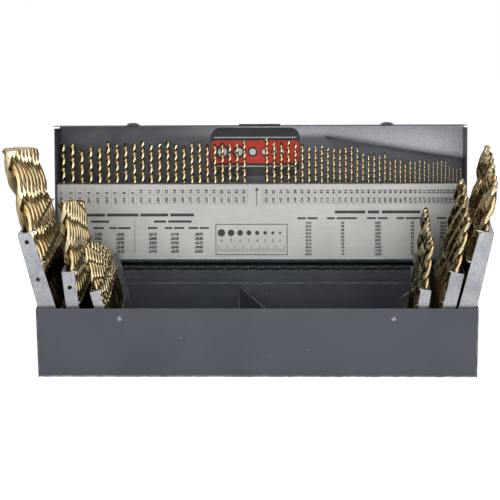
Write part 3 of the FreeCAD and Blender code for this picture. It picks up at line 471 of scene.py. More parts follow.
@dataclass(frozen=True)
class Enamel:
    """Baked blue-grey enamel on steel, finely grained, worn through to the metal along its edges.

    Faces noted for painted light get a painted pool of light: pale paint that grows from left to right across one span
    and upwards across another, in metres, leaving painted shadow below the bit stop's line. Right of a place that
    height falls by a share of the way.
    """

    name: str = "blue_grey_enamel"
    light: Point = (64, 67, 75)
    dark: Point = (55, 58, 66)
    # The colour of the metal where the enamel is worn through
    bare_metal_and_glint: Point = (176, 178, 184)
    # Painted light: pale tones painted where light falls on the lid's inside, placed by the spans below, with painted
    # shadow under the bit stop
    painted_light_tones: tuple[Point, Point] = ((156, 154, 162), (214, 212, 220))
    across: Span = (-0.11, 0.04)
    upwards: Span = (0.17, 0.178)
    fall_from: float = 0.06
    fall: float = 0.163
    least: float = 0.05
    # How strongly the narrow edge strips wear through to the metal
    rubbed: float = 0.8
    chips: float = 0.62

    def made(self) -> Material:
        """Build the material."""
        recipe = Recipe(self.name)
        grain = recipe.noise(1700, 2)
        paint = recipe.blend(recipe.cloud(14, 4, 0.3, 0.7), tone(self.dark), tone(self.light))
        paint = recipe.blend(recipe.curve(grain, 0.35, 0.7, 0.0, 0.3), paint, tone(self.light, 18))
        painted_light_tones = recipe.blend(recipe.curve(grain, 0.3, 0.7), *(tone(colour) for colour in self.painted_light_tones))
        # Painted light: the noted faces are painted pale where light falls on them, and stay dark under the bit stop
        # as painted shadow
        paint = recipe.blend(self.painted_light_share(recipe), paint, painted_light_tones)
        worn = recipe.product(recipe.mark("rim"), recipe.cloud(240, 5, 0.3, 0.65, 0.1), self.rubbed)
        chip = recipe.cloud(420, 3, self.chips + 0.06, self.chips + 0.1)
        patch = recipe.cloud(22, 2, self.chips, self.chips + 0.08)
        worn = recipe.math("MAXIMUM", worn, recipe.product(chip, patch))
        rough = recipe.cloud(70, 4, 0.3, 0.7, 0.36, 0.48)
        recipe.bump(grain, 0.1, 0.05)
        return recipe.finish(recipe.blend(worn, paint, tone(self.bare_metal_and_glint)), rough, Specular_IOR_Level=0.5)

    def painted_light_share(self, recipe: Recipe) -> Socket:
        """How much of the painted light the noted faces get, with painted shadow below the bit stop's line."""
        spot = recipe.node("ShaderNodeSeparateXYZ", recipe.place).outputs
        past = recipe.math("MAXIMUM", recipe.math("SUBTRACT", spot[0], self.fall_from), 0.0)
        level = recipe.math("ADD", recipe.product(past, self.fall), spot[2])
        across = recipe.curve(spot[0], *self.across, self.least)
        return recipe.product(recipe.mark("rubbed"), across, recipe.curve(level, *self.upwards, self.least))


@dataclass(frozen=True)
class Zinc:
    """Bright zinc plate with a fine grey mottle, faint clouds and a clean line along its edges."""

    name: str = "bright_zinc"
    light: Point = (178, 179, 181)
    dark: Point = (118, 123, 133)
    edge: Point = (214, 215, 218)
    roughness: float = 0.36

    def made(self) -> Material:
        """Build the material."""
        recipe = Recipe(self.name)
        plate = recipe.blend(recipe.cloud(620, 5, 0.36, 0.7, 0.0, 0.55), tone(self.light), tone(self.dark))
        plate = recipe.blend(recipe.cloud(55, 4, 0.4, 0.75, 0.0, 0.5), plate, tone(self.dark))
        plate = recipe.blend(recipe.product(recipe.mark("rim"), 0.8), plate, tone(self.edge))
        lines = recipe.noise(900, 3, (1, 1, 0.05))
        rough = recipe.curve(lines, 0.3, 0.7, self.roughness - 0.05, self.roughness + 0.06)
        recipe.bump(lines, 0.06, 0.03)
        return recipe.finish(plate, rough, Metallic=1.0)


@dataclass(frozen=True)
class SatinPlate:
    """Satin silver sheet with faint rolling lines along its length."""

    name: str = "satin_silver"
    light: Point = (161, 160, 156)
    dark: Point = (151, 151, 148)

    def made(self) -> Material:
        """Build the material."""
        recipe = Recipe(self.name)
        lines = recipe.noise(1100, 3, (0.04, 1, 1))
        sheet = recipe.blend(recipe.cloud(26, 3, 0.3, 0.7), tone(self.dark), tone(self.light))
        sheet = recipe.blend(recipe.curve(lines, 0.35, 0.7, 0.0, 0.08), sheet, tone(self.dark, -26))
        recipe.bump(lines, 0.05, 0.02)
        return recipe.finish(sheet, recipe.curve(lines, 0.3, 0.7, 0.38, 0.46), Metallic=0.5)


@dataclass(frozen=True)
class GoldSteel:
    """High-speed steel tempered to straw gold, lighter on its lands, with painted shade darkening its flutes and its
    shank to brown.
    """

    name: str = "straw_gold_steel"
    ridge: Point = (208, 193, 156)
    body: Point = (168, 150, 112)
    # The dark colour of the painted shade in the flutes
    flute: Point = (84, 68, 40)
    warm: Point = (176, 126, 78)

    def made(self) -> Material:
        """Build the material."""
        recipe = Recipe(self.name)
        depth = recipe.mark("flute_shade_depth")
        # Painted shade: the deeper in a flute, and on the shank, the darker the colour is painted
        metal = recipe.blend(recipe.curve(depth, 0.0, 0.16), tone(self.ridge), tone(self.body))
        metal = recipe.blend(recipe.curve(depth, 0.22, 0.76), metal, tone(self.flute))
        metal = recipe.blend(recipe.mark("temper"), metal, tone(self.warm))
        metal = recipe.blend(recipe.cloud(160, 4, 0.45, 0.75, 0.0, 0.3), metal, tone(self.flute))
        recipe.bump(recipe.noise(500, 2, (1, 1, 0.1)), 0.03, 0.02)
        return recipe.finish(metal, recipe.cloud(200, 3, 0.3, 0.7, 0.13, 0.2), Metallic=1.0)


@dataclass(frozen=True)
class DarkSteel:
    """Oiled black steel of the hinge barrels and pins, with a near-white painted glint where faces are noted for it.
    """

    name: str = "dark_hinge_steel"
    light: Point = (42, 44, 48)
    dark: Point = (18, 19, 21)
    # The near-white colour of the painted glint
    bare_metal_and_glint: Point = (205, 205, 205)

    def made(self) -> Material:
        """Build the material."""
        recipe = Recipe(self.name)
        steel = recipe.blend(recipe.cloud(300, 4, 0.35, 0.7), tone(self.dark), tone(self.light))
        # Painted highlight: the noted faces at the knuckle ends get the near-white painted glint
        steel = recipe.blend(recipe.mark("rubbed"), steel, tone(self.bare_metal_and_glint))
        recipe.bump(recipe.noise(1800, 2), 0.12, 0.04)
        return recipe.finish(steel, recipe.cloud(500, 3, 0.3, 0.7, 0.42, 0.58), Metallic=0.25)


@dataclass(frozen=True)
class Ink:
    """Printing ink or label film of one colour with a faint mottle."""

    name: str
    colour: Point
    roughness: float = 0.5

    def made(self) -> Material:
        """Build the material."""
        recipe = Recipe(self.name)
        ink = recipe.blend(recipe.cloud(900, 4, 0.3, 0.75, 0.0, 0.16), tone(self.colour), tone(self.colour, 36))
        rough = recipe.cloud(600, 2, 0.3, 0.7, self.roughness - 0.05, self.roughness + 0.05)
        recipe.bump(recipe.noise(1600, 2), 0.05, 0.02)
        return recipe.finish(ink, rough)


class Finishes:
    """Every finish of the case, made once."""

    def __init__(self) -> None:
        """Make them."""
        self.enamel = Enamel().made()
        self.scuffed = Enamel("scuffed_enamel", bare_metal_and_glint=(140, 142, 148), chips=0.36).made()
        self.zinc = Zinc().made()
        self.drawn_zinc = Zinc("drawn_zinc", (150, 151, 150), (96, 98, 100), roughness=0.16).made()
        # A bluish zinc for the painted reflection on the number panel's curled foot
        self.painted_reflection_zinc = Zinc("painted_reflection_zinc", (196, 214, 218), (140, 156, 162), (196, 208, 212), 0.4).made()
        self.satin = SatinPlate().made()
        self.gold = GoldSteel().made()
        self.dark_steel = DarkSteel().made()
        self.black = Ink("black_print", (24, 24, 26)).made()
        self.red = Ink("orange_red_film", (206, 42, 20), 0.6).made()
        self.white = Ink("white_film", (206, 206, 206), 0.4).made()


def dressed(piece: Object, finish: Material) -> Object:
    """Give a piece one finish."""
    piece.data.materials.clear()
    piece.data.materials.append(finish)
    return piece


def fitted(piece: Object, body: Body, nodes: Sequence[str] = ()) -> Object:
    """Hand a finished piece to the frame.

    Args:
        piece: The finished piece.
        body: The body that it rides on.
        nodes: The solids that it stands for.

    Returns:
        The piece.
    """
    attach(piece, body.value)
    if nodes:
        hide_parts(*nodes)
    LOG.info("%s: %d faces, on %s", piece.name, len(piece.data.polygons), body.value)
    return piece


# Twist drills


class Section(Enum):
    """How finely a bit's section and helix are cut: corners and rings."""

    FINE = (24, 40)
    SMALL = (12, 30)


# How far out a bit's section reaches, as shares of its radius, at even steps over the half turn from land to land
DEEP: tuple[float, ...] = (0.96, 0.97, 1.0, 0.7, 0.45, 0.34, 0.32, 0.36, 0.48, 0.68, 0.87, 0.95)
SHALLOW: tuple[float, ...] = (0.93, 0.97, 1.0, 0.84, 0.66, 0.56, 0.54, 0.56, 0.62, 0.7, 0.8, 0.88)


@dataclass
class TwistDrill:
    """A two-flute drill bit, modelled straight once and wound to each size."""

    section: Section
    lead: float = 5.7
    point_angle: float = 59.0
    profile: tuple[float, ...] = DEEP
    heel: float = 0.9
    straight: Object | None = None

    def modelled(self) -> Object:
        """The straight bit: its shank from -1 to 0, its flutes from 0 to 1 and its point from 1 to 2."""
        corners, rings = self.section.value
        bit = disc(corners, self.heel, (0, 0, -1))
        with editing(bit, whole=True):
            raised((0, 0, 0.008), (1 / self.heel, 1 / self.heel, 1))
            raised((0, 0, 0.992))
            for depth in (0.5, 1.0):
                raised((0, 0, 0.04))
                self.cut(depth)
            for _ in range(rings):
                raised((0, 0, 0.92 / rings))
            reshaped(self.onto_cone)
            raised((0, 0, 0), (0.1, 0.1, 0.1), (0, 0, 2))
        self.mark(bit)
        self.straight = bit
        bit.hide_render = True
        return bit

    def cut(self, depth: float) -> None:
        """Draw the top face's corners in to the drill's section, by a share of its depth."""
        shares = self.profile[:: 2 * len(self.profile) // self.section.value[0]]

        def draw_in(spot: Vector) -> None:
            """Bring one corner to its share of the radius."""
            turn = math.atan2(spot.y, spot.x) % math.pi
            share = shares[round(turn / math.pi * len(shares)) % len(shares)]
            change = (1 + (share - 1) * depth) / math.hypot(spot.x, spot.y)
            spot.x *= change
            spot.y *= change

        reshaped(draw_in)

    @staticmethod
    def onto_cone(spot: Vector) -> None:
        """Raise a corner of the last ring onto the point's cone."""
        spot.z += 1 - math.hypot(spot.x, spot.y)

    @staticmethod
    def mark(bit: Object) -> None:
        """Note on each corner how deep in a flute it lies, for the painted shade in the flutes, with the point as
        bright as a land and painted shade on the shank.
        """
        corners = np.array([v.co for v in bit.data.vertices])
        depth = 1 - np.hypot(corners[:, 0], corners[:, 1])
        depth[corners[:, 2] > 1.8] = 0.04
        # Painted shade on the shank
        depth[corners[:, 2] < 0.03] = 0.42
        noted(bit, "flute_shade_depth", np.clip(depth, 0, 1), "POINT")

    def wound(
        self, diameter: float, length: float, flutes: float, place: Matrix, turn: float, temper: float
    ) -> Object:
        """A copy of the bit, brought to its size and wound to its helix.

        Args:
            diameter: The bit's diameter, millimetres.
            length: Its length, millimetres.
            flutes: The length of its fluted part, millimetres.
            place: Where its shank's end goes, in metres.
            turn: How it is turned in its hole, degrees.
            temper: How warm its colour is, 0 to 1.

        Returns:
            The bit.
        """
        bit = copied(self.straight, Matrix.Identity(4))
        bit.hide_render = False
        corners = np.array([v.co for v in bit.data.vertices])
        radius, tip = diameter / 2, diameter / 2 / math.tan(math.radians(self.point_angle))
        height = np.interp(corners[:, 2], (-1, 0, 1, 2), (0, length - flutes, length - tip, length))
        angle = np.radians(turn) + 2 * np.pi * height / (self.lead * diameter)
        x = (corners[:, 0] * np.cos(angle) - corners[:, 1] * np.sin(angle)) * radius
        y = (corners[:, 0] * np.sin(angle) + corners[:, 1] * np.cos(angle)) * radius
        bit.data.vertices.foreach_set("co", (np.stack((x, y, height), 1) * MM).ravel())
        noted(bit, "temper", np.full(len(corners), temper), "POINT")
        bit.data.transform(place)
        return bit


@dataclass
class DrillRack:
    """The straight bits that every row of the case is wound from."""

    large: TwistDrill = field(default_factory=lambda: TwistDrill(Section.FINE))
    numbered: TwistDrill = field(default_factory=lambda: TwistDrill(Section.FINE, 4.4, profile=SHALLOW))
    small: TwistDrill = field(default_factory=lambda: TwistDrill(Section.SMALL, 4.4, profile=SHALLOW))
    chance: random.Random = field(default_factory=lambda: random.Random(7))

    def model(self) -> None:
        """Model the straight bits."""
        for drill in (self.large, self.numbered, self.small):
            drill.modelled()

    def clear(self) -> None:
        """Take the straight bits away once every row is made."""
        for drill in (self.large, self.numbered, self.small):
            bpy.data.objects.remove(drill.straight)

    @staticmethod
    def length(diameter: float) -> float:
        """A jobber bit's length, millimetres, by two straight lines through the standard lengths."""
        return min(30.5 + 12.27 * diameter, 50.8 + 8 * diameter)

    @staticmethod
    def flutes(diameter: float) -> float:
        """The length of its fluted part, millimetres, by two such lines."""
        return min(4 + 11.5 * diameter, 25.4 + 7 * diameter)

    def bit(self, drill: TwistDrill, diameter: float, place: Matrix, length: float, turns: Span) -> Object:
        """One bit, turned and tempered by chance.

        Args:
            drill: The straight bit that it is wound from.
            diameter: Its diameter, millimetres.
            place: Where its shank's end goes, in metres.
            length: Its length, millimetres.
            turns: The least and the most that it may be turned, degrees.

        Returns:
            The bit.
        """
        temper = self.chance.choice((0.0, 0.0, 0.05, 0.1, 0.2, 0.5)) * self.chance.random()
        turn = self.chance.uniform(*turns)
        return drill.wound(diameter, length, self.flutes(diameter), place, turn, temper)


# Tray


@dataclass
class CaseTray:
    """The tray with its end walls, the pan that carries the fans, and the divider."""

    finishes: Finishes
    nodes: dict[str, Object]
    dimples: tuple[Point, ...] = ((-118, -64.7, 53.7), (118, -64.7, 53.7))
    welds: tuple[Point, ...] = ((-86.5, 61.85, 32.4), (88.1, 61.85, 33.0))

    def build(self) -> None:
        """Refine the tray's sheets and add the marks of its welds and catches."""
        sheets = {
            "tray_sheet": "base_tray", "left_end_wall": "base_end_left", "right_end_wall": "base_end_right",
            "fan_pan": "fan_cradle", "bay_divider": "divider",
        }
        for name, node in sheets.items():
            sheet = dressed(refined(self.nodes[node], name), self.finishes.enamel)
            fitted(sheet, Body.CASE, [node])
        kinds = (
            ("catch_dimple_scuffs", self.dimples, 2.1, 0.75, self.finishes.scuffed),
            ("weld_marks", self.welds, 1.7, 0.2, self.finishes.enamel),
        )
        for name, spots, radius, rise, finish in kinds:
            marks = joined(name, [self.mark(spot, radius, rise) for spot in spots])
            fitted(dressed(marks, finish), Body.CASE)

    def mark(self, spot: Point, radius: float, rise: float) -> Object:
        """A small raised mark on a wall, domed towards the front.

        Args:
            spot: Its middle on the wall, millimetres.
            radius: Its radius, millimetres.
            rise: How far it stands out, millimetres.

        Returns:
            The mark.
        """
        centre = Vector(spot) * MM
        mark = disc(18, radius * MM, centre, (math.pi / 2, 0, 0))
        with editing(mark, whole=True):
            for step, share in ((0.5, 0.85), (0.32, 0.72), (0.18, 0.45)):
                raised((0, -rise * step * MM, 0), (share, 1, share), centre)
        return smoothed(mark)


# Piano hinge


def lid_place() -> Matrix:
    """Where the lid's own upright frame sits: leaning back on the hinge line."""
    return at(HINGE_LINE) @ Matrix.Rotation(math.radians(LID_LEAN), 4, "X")


@dataclass
class PianoHinge:
    """The hinge along the back: two leaves with rolled knuckles, turn and turn about.

    The leaves keep some room below the hinge line, and the knuckles a gap between them.
    """

    finishes: Finishes
    half_length: float = 188.1
    knuckles: int = 53
    radius: float = 1.8
    leaf_height: float = 9.3
    room: float = 1.9
    gap: float = 0.3

    def build(self) -> None:
        """Both leaves, each on its own body."""
        case_leaf = settle(self.leaf("tray_hinge_leaf", 0), at(HINGE_LINE))
        fitted(case_leaf, Body.CASE, ["hinge_leaf_base"])
        lid_leaf = settle(self.leaf("lid_hinge_leaf", 1), lid_place() @ Matrix.Rotation(math.pi / 2, 4, "X"))
        fitted(lid_leaf, Body.LID, ["hinge_leaf_lid"])

    def strip(self, name: str, reach: float, low: float, high: float, share: float = 1.0) -> Object:
        """A flat strip between two heights, flush with the front of the knuckles and a share of the sheet thick."""
        return block(name, (-reach, -self.radius, low), (reach, -self.radius + SHEET * share, high))

    def knuckle(self, width: float) -> Object:
        """One rolled knuckle at the origin, its rim eased, its root turned into the leaf, and a painted glint noted at
        one end.
        """
        barrel = rod("knuckle", (-width / 2, 0, 0), (width / 2, 0, 0), self.radius, 16)
        with editing(barrel, Part.EDGES):
            round_off(Part.EDGES, 0.3, 2, lambda m, w: near(abs(m.x), width / 2))
            pick(Part.FACES, lambda m, w: abs(w.x) > 0.99)
            bpy.ops.mesh.inset(thickness=0.6 * MM)
        root = self.strip("root", width / 2, -self.room - 0.2, -0.4)
        whole = smoothed(joined("knuckle", [barrel, root]))
        # Painted highlight: the front and upper faces at one end of each knuckle are noted for a near-white painted
        # glint
        end = (width / 2 - 0.7) * MM
        spots = [face.center.x > end and face.normal.y < -0.3 and face.normal.z > 0.3 for face in whole.data.polygons]
        return noted(whole, "rubbed", spots)

    def leaf(self, name: str, first: int) -> Object:
        """One leaf hanging below the hinge line.

        Args:
            name: The leaf's name.
            first: The first knuckle that belongs to it.

        Returns:
            The leaf.
        """
        plate = self.strip(name, self.half_length, -self.leaf_height, -self.room)
        lip = self.strip("lip", self.half_length, -self.room - 0.1, -self.radius + SHEET * 0.61, 0.5)
        dressed(lip, self.finishes.dark_steel)
        dressed(eased(plate), self.finishes.enamel)
        pitch = 2 * self.half_length / self.knuckles
        model = dressed(self.knuckle(pitch - self.gap), self.finishes.dark_steel)
        rolled = [
            copied(model, at((-self.half_length + (i + 0.5) * pitch, 0, 0)))
            for i in range(first, self.knuckles, 2)
        ]
        bpy.data.objects.remove(model)
        return joined(name, [plate, lip, *rolled])


# Lid


@dataclass
class NumberRow:
    """The numbered bits: wire gauge sizes one to sixty and their places along the panel.

    The gauges are in ten-thousandths of an inch. The tips are how far each bit stands out of the panel's shelf, the
    spans where each half of the row starts and ends, the spread how much more room a bit takes than it is thick, and
    the depths how far below the shelf the rest strip lies at the left, in the middle and at the right.
    """

    gauges: tuple[int, ...] = (
        2280, 2210, 2130, 2090, 2055, 2040, 2010, 1990, 1960, 1935, 1910, 1890, 1850, 1820, 1800,
        1770, 1730, 1695, 1660, 1610, 1590, 1570, 1540, 1520, 1495, 1470, 1440, 1405, 1360, 1285,
        1200, 1160, 1130, 1110, 1100, 1065, 1040, 1015, 995, 980, 960, 935, 890, 860, 820,
        810, 785, 760, 730, 700, 670, 635, 595, 550, 520, 465, 430, 420, 410, 400,
    )
    tips: tuple[float, ...] = (
        36.9, 37.3, 31.7, 33.5, 32.7, 39.2, 36.7, 37.3, 37.5, 39.3, 36.1, 37.3, 39.5, 36.3, 35.3,
        38.0, 38.2, 36.2, 36.2, 37.5, 36.0, 36.7, 39.5, 42.2, 37.6, 38.0, 39.5, 36.1, 36.2, 33.4,
        33.9, 34.5, 32.0, 32.0, 31.3, 33.2, 33.4, 33.5, 26.8, 26.5, 26.8, 25.1, 28.3, 21.8, 22.7,
        22.9, 18.7, 19.9, 20.4, 20.6, 21.4, 18.1, 19.0, 19.0, 19.9, 19.2, 15.3, 12.7, 12.5, 12.9,
    )
    large_count: int = 23
    spans: tuple[Span, ...] = ((-185.5, -15.51), (5.49, 186.0))
    spread: float = 0.2
    shelf: float = 77.9
    row: float = 22.0
    depths: tuple[float, float, float] = (60.0, 38.0, 28.0)

    def diameters(self) -> list[float]:
        """Each bit's diameter, millimetres."""
        return [gauge / 10000 * INCH for gauge in self.gauges]

    def places(self) -> list[float]:
        """Each bit's place along the panel, millimetres."""
        sizes, places = self.diameters(), []
        groups = (sizes[: self.large_count], sizes[self.large_count:])
        for group, (start, end) in zip(groups, self.spans):
            rooms = [size * (1 + self.spread) for size in group]
            gap = (end - start - sum(rooms) + rooms[0] / 2 + rooms[-1] / 2) / (len(rooms) - 1)
            place = start - rooms[0] / 2
            for room in rooms:
                places.append(place + room / 2)
                place += room + gap
        return places

    def foot(self, x: float) -> float:
        """How high the rest strip is at a place along the panel, millimetres."""
        middle = (self.spans[0][0] + self.spans[1][1]) / 2
        stations = (self.spans[0][0], middle, self.spans[1][1])
        return self.shelf - float(np.interp(x, stations, self.depths)) + 0.3

    def build(self, rack: DrillRack, finishes: Finishes) -> None:
        """Both halves of the row."""
        sizes, places = self.diameters(), self.places()
        groups = {
            ("large_numbered_drills", "number_bits_large"): range(self.large_count),
            ("small_numbered_drills", "number_bits_small"): range(self.large_count, len(sizes)),
        }
        for (name, node), group in groups.items():
            bits = []
            for i in group:
                foot = self.foot(places[i])
                place = lid_place() @ at((places[i], self.row, foot))
                drill = rack.numbered if i < self.large_count else rack.small
                bits.append(rack.bit(drill, sizes[i], place, self.shelf + self.tips[i] - foot, (0, 180)))
            row = dressed(smoothed(joined(name, bits), DRILL_CREASE), finishes.gold)
            fitted(row, Body.LID, [node])


@dataclass
class NumberPanel:
    """The folded panel in the lid with a hole for each numbered bit, and what is printed on it."""

    finishes: Finishes
    row: NumberRow
    half_length: float = 189.2
    face: float = 8.0
    back: float = 41.5
    top: float = 77.9
    foot: float = 3.8
    top_bend: float = 1.9
    foot_bend: float = 4.2
    centre_hole: float = 5.6
    play: float = 0.15
    ink: float = 0.02
    hairline: float = 0.11
    cells: Span = (56.7, 73.0)
    middle_rule: Span = (66.2, 66.4)
    number_line: float = 67.7
    size_line: float = 58.2
    box: tuple[float, float, float, float] = (-41.9, 25.0, 10.8, 39.8)
    frame: float = 0.7
    disc_line: float = 31.5
    disc_numbers: float = 24.2
    disc_gap: float = 5.4
    ticks: int = 33

    def build(self) -> None:
        """The panel and its print."""
        fitted(settle(self.folded(), lid_place()), Body.LID, ["number_panel"])
        self.printed()

    def folded(self) -> Object:
        """Shelf, face and curled foot of one sheet, with its holes."""
        panel = block(
            "folded_number_panel", (-self.half_length, self.face, self.foot), (self.half_length, self.back, self.top)
        )
        with editing(panel):
            pick(Part.FACES, lambda m, w: w.y > 0.9 or abs(w.x) > 0.9)
            bpy.ops.mesh.delete(type="FACE")
            round_off(Part.EDGES, self.top_bend, 5, lambda m, w: near(m.y, self.face) and near(m.z, self.top))
            round_off(Part.EDGES, self.foot_bend, 8, lambda m, w: near(m.y, self.face) and near(m.z, self.foot))
        shaped(panel, "SOLIDIFY", thickness=SHEET * MM, offset=-1, use_even_offset=True)
        sizes, places = self.row.diameters(), self.row.places()
        holes = [(x, size / 2 + self.play) for x, size in zip(places, sizes)]
        last = self.row.large_count
        room = (places[last - 1] + sizes[last - 1] / 2, places[last] - sizes[last] / 2)
        holes.append((sum(room) / 2, self.centre_hole))
        cutters = [
            rod("hole", (x, self.row.row, self.top - 3), (x, self.row.row, self.top + 3), radius, 20)
            for x, radius in holes
        ]
        drilled(panel, cutters)
        panel.data.materials.clear()
        for finish in (self.finishes.satin, self.finishes.painted_reflection_zinc, self.finishes.zinc):
            panel.data.materials.append(finish)
        # Painted light on the bends: the top fold gets bright zinc as a painted highlight, the curled foot a bluish
        # zinc as a painted reflection
        for face in panel.data.polygons:
            folded = face.center.z > (self.top - SHEET) * MM and face.center.y < (self.face + 1.2) * MM
            face.material_index = 2 if folded else int(face.center.z < (self.foot + self.foot_bend) * MM)
        return smoothed(panel)

    def printed(self) -> None:
        """Everything printed on the panel's face, as thin ink."""
        marks = [*self.scale(), *self.arrow(), *self.tables(), *self.gauge_box()]
        for mark in marks:
            mark.data.transform(Matrix.Rotation(math.pi / 2, 4, "X"))
        ink = joined("number_print", marks)
        place = lid_place() @ Matrix.Translation((0, (self.face - self.ink) * MM, 0))
        fitted(settle(dressed(ink, self.finishes.black), place), Body.LID)

    def bar(self, x0: float, x1: float, y0: float, y1: float) -> Object:
        """A printed rule, drawn flat."""
        return block("rule", (x0, y0, -self.ink), (x1, y1, self.ink))

    def words(self, body: str, x: float, y: float, size: float, heavy: float, turned: bool = False) -> Object:
        """A printed number, drawn flat.

        Args:
            body: Its characters.
            x: Its middle, millimetres.
            y: Its middle or, when turned, where it starts, millimetres.
            size: Its size, millimetres.
            heavy: How much bolder than the plain face it is.
            turned: Whether it reads upwards.

        Returns:
            The number as a mesh.
        """
        bpy.ops.object.text_add()
        item = bpy.context.object
        text = item.data
        text.body, text.size, text.resolution_u = body, size * MM, 1
        text.offset, text.extrude = heavy * size * MM, self.ink * MM
        text.align_x, text.align_y = ("LEFT" if turned else "CENTER"), "CENTER"
        only(item)
        bpy.ops.object.convert(target="MESH")
        turn = Matrix.Rotation(math.pi / 2 if turned else 0, 4, "Z")
        item.data.transform(at((x, y, 0)) @ turn)
        return item

    def scale(self) -> list[Object]:
        """The cells with each bit's number and its size in thousandths of an inch."""
        marks: list[Object] = []
        places = self.row.places()
        last = self.row.large_count
        ends = (places[last - 1] + 3.7, places[last] - 3.2)
        for i, x in enumerate(places):
            small = i >= last
            thousandths = f".{self.row.gauges[i] // 10:03d}"
            marks.append(self.words(str(i + 1), x, self.number_line, 4.2 - 0.3 * small, 0.05, True))
            marks.append(self.words(thousandths, x, self.size_line, 3.9 - 0.2 * small, 0.045, True))
            if i + 1 < len(places) and i + 1 != last:
                marks.append(self.cell_rule((x + places[i + 1]) / 2))
        marks += [self.cell_rule(end) for end in ends]
        for start, end in ((-self.half_length + 1, ends[0]), (ends[1], self.half_length - 1)):
            marks.append(self.bar(start, end, *self.middle_rule))
        return marks

    def cell_rule(self, x: float) -> Object:
        """The thin rule between two cells."""
        return self.bar(x - self.hairline, x + self.hairline, *self.cells)

    def arrow(self) -> list[Object]:
        """The arrow up to the open hole between the two halves of the row."""
        head = disc(3, 2.1 * MM, Vector((-3.5, 71.8, -self.ink)) * MM)
        with editing(head, whole=True):
            raised((0, 0, 2 * self.ink * MM))
            bpy.ops.mesh.select_all(action="SELECT")
            bpy.ops.mesh.normals_make_consistent(inside=False)
        return [head, self.bar(-3.8, -3.2, 56.5, 71.8)]

    def tables(self) -> list[Object]:
        """Two plain tables of sizes under ruled bars.

        The bars are given by their heights and their spans, and each table by its lines, its columns, the height of
        its first line, its pitch and its print's size.
        """
        bars = (
            (12.8, 42.7, ((-117.4, -117.0),)),
            (46.9, 49.6, ((-174, -144.7), (-143, -113.6), (-111.8, -85.9), (-83.9, -61.9))),
            (49.4, 52.1, ((69, 97), (99.5, 110), (112.5, 148))),
            (41.1, 43.2, ((-158, -141.2), (-99.2, -88), (-86, -64.2))),
            (35.2, 37.0, ((-156, -146), (-141, -134), (-132.7, -121), (-105, -96), (-89, -82), (-80.7, -71))),
            (35.2, 37.0, ((-67, -58), (-56.7, -48))),
            (44.1, 45.9, ((34.3, 42), (43.5, 52.9), (61.7, 69), (70.5, 89.4), (98.7, 107), (108.5, 117.7))),
            (44.1, 45.9, ((126, 133), (134.5, 148.6), (163.4, 171.7))),
        )
        marks = [self.bar(x0, x1, y0, y1) for y0, y1, spans in bars for x0, x1 in spans]
        left = [[f".{line * 37 + column * 68 + 115:03d}5" for column in range(5)] for line in range(5)]
        right = [
            (f"{line + 1}/16", str(32 - 2 * line), f"{line + 3}/32", str(36 - line), f"{line + 5}/64")
            for line in range(10)
        ]
        tables = (
            (left, (-152.0, -131.0, -100.5, -80.0, -57.5), 30.1, 4.0, 3.6),
            (right, (44.5, 76.2, 108.9, 140.8, 169.0), 40.6, 3.24, 3.0),
        )
        for lines, columns, top, pitch, size in tables:
            for line, cells in enumerate(lines):
                marks += [self.words(cell, x, top - pitch * line, size, 0.07) for x, cell in zip(columns, cells)]
        return marks

    def gauge_box(self) -> list[Object]:
        """A framed row of discs that fall in size, for judging a bit by eye."""
        x0, x1, y0, y1 = self.box
        marks = [self.bar(x0, x1, foot, foot + self.frame) for foot in (y0, y1 - self.frame)]
        marks += [self.bar(start, start + self.frame, y0, y1) for start in (x0, x1 - self.frame)]
        x = x0 + 5.5
        sizes = (7.0, 6.2, 5.4, 4.7, 4.0, 3.4, 2.8, 2.2)
        for i, size in enumerate(sizes):
            marks.append(rod("disc", (x, self.disc_line, -self.ink), (x, self.disc_line, self.ink), size / 2, 24))
            marks.append(self.words(str(len(sizes) - i), x, self.disc_numbers, 3.6, 0.02))
            x += size / 2 + self.disc_gap
        for i in range(self.ticks):
            mark = x0 + 3 + i * (x1 - x0 - 6) / (self.ticks - 1)
            marks.append(self.bar(mark - 0.2, mark + 0.2, 14.0, 19.5 if i % 4 == 0 else 16.8))
        return marks


@dataclass
class SizeLabel:
    """A plain label on the lid's back: a dark field, a bright band and discs of falling size."""

    finishes: Finishes
    centre: Span = (-5.8, 106.0)
    size: Span = (84.0, 45.5)
    depth: float = 41.5
    film: float = 0.12

    def build(self) -> None:
        """The label's films, one on another."""
        width = self.size[0]
        films = [
            self.sheet("label_field", self.size, 9.0, 0, self.finishes.black),
            self.sheet("label_band", (width - 0.8, 21.0), 4.0, 1, self.finishes.red),
            *(self.sheet("line", (width - 6, 0.7), 0.3, 2, self.finishes.white, lift) for lift in (-13.6, 13.6)),
        ]
        discs, x = [], -width / 2 + 11
        for radius in (7.0, 5.9, 4.9, 4.0, 3.2, 2.5):
            discs.append(self.disc(x, radius, 2, self.finishes.black))
            discs.append(self.disc(x, radius * 0.62, 3, self.finishes.white))
            x += radius * 2 + 1.4
        label = joined("size_label", [*films, *discs])
        place = at((self.centre[0], self.depth, self.centre[1]))
        turn = Matrix.Rotation(math.pi / 2, 4, "X")
        fitted(settle(label, lid_place() @ place @ turn), Body.LID)

    def sheet(
        self, name: str, size: Span, corner: float, layer: int, finish: Material, lift: float = 0.0
    ) -> Object:
        """A film with round corners.

        Args:
            name: Its name.
            size: Its width and height, millimetres.
            corner: Its corner's radius, millimetres.
            layer: How many films lie under it.
            finish: Its finish.
            lift: How far above the label's middle it is, millimetres.

        Returns:
            The film, drawn flat.
        """
        width, height = size
        low, high = layer * self.film, (layer + 1) * self.film
        film = block(name, (-width / 2, lift - height / 2, low), (width / 2, lift + height / 2, high))
        with editing(film, Part.EDGES):
            round_off(Part.EDGES, corner, 8, lambda m, w: abs(w.z) > 0.9)
        return dressed(film, finish)

    def disc(self, x: float, radius: float, layer: int, finish: Material) -> Object:
        """A round film, drawn flat."""
        low, high = layer * self.film, (layer + 1) * self.film
        return dressed(rod("disc", (x, 0, low), (x, 0, high), radius, 32), finish)


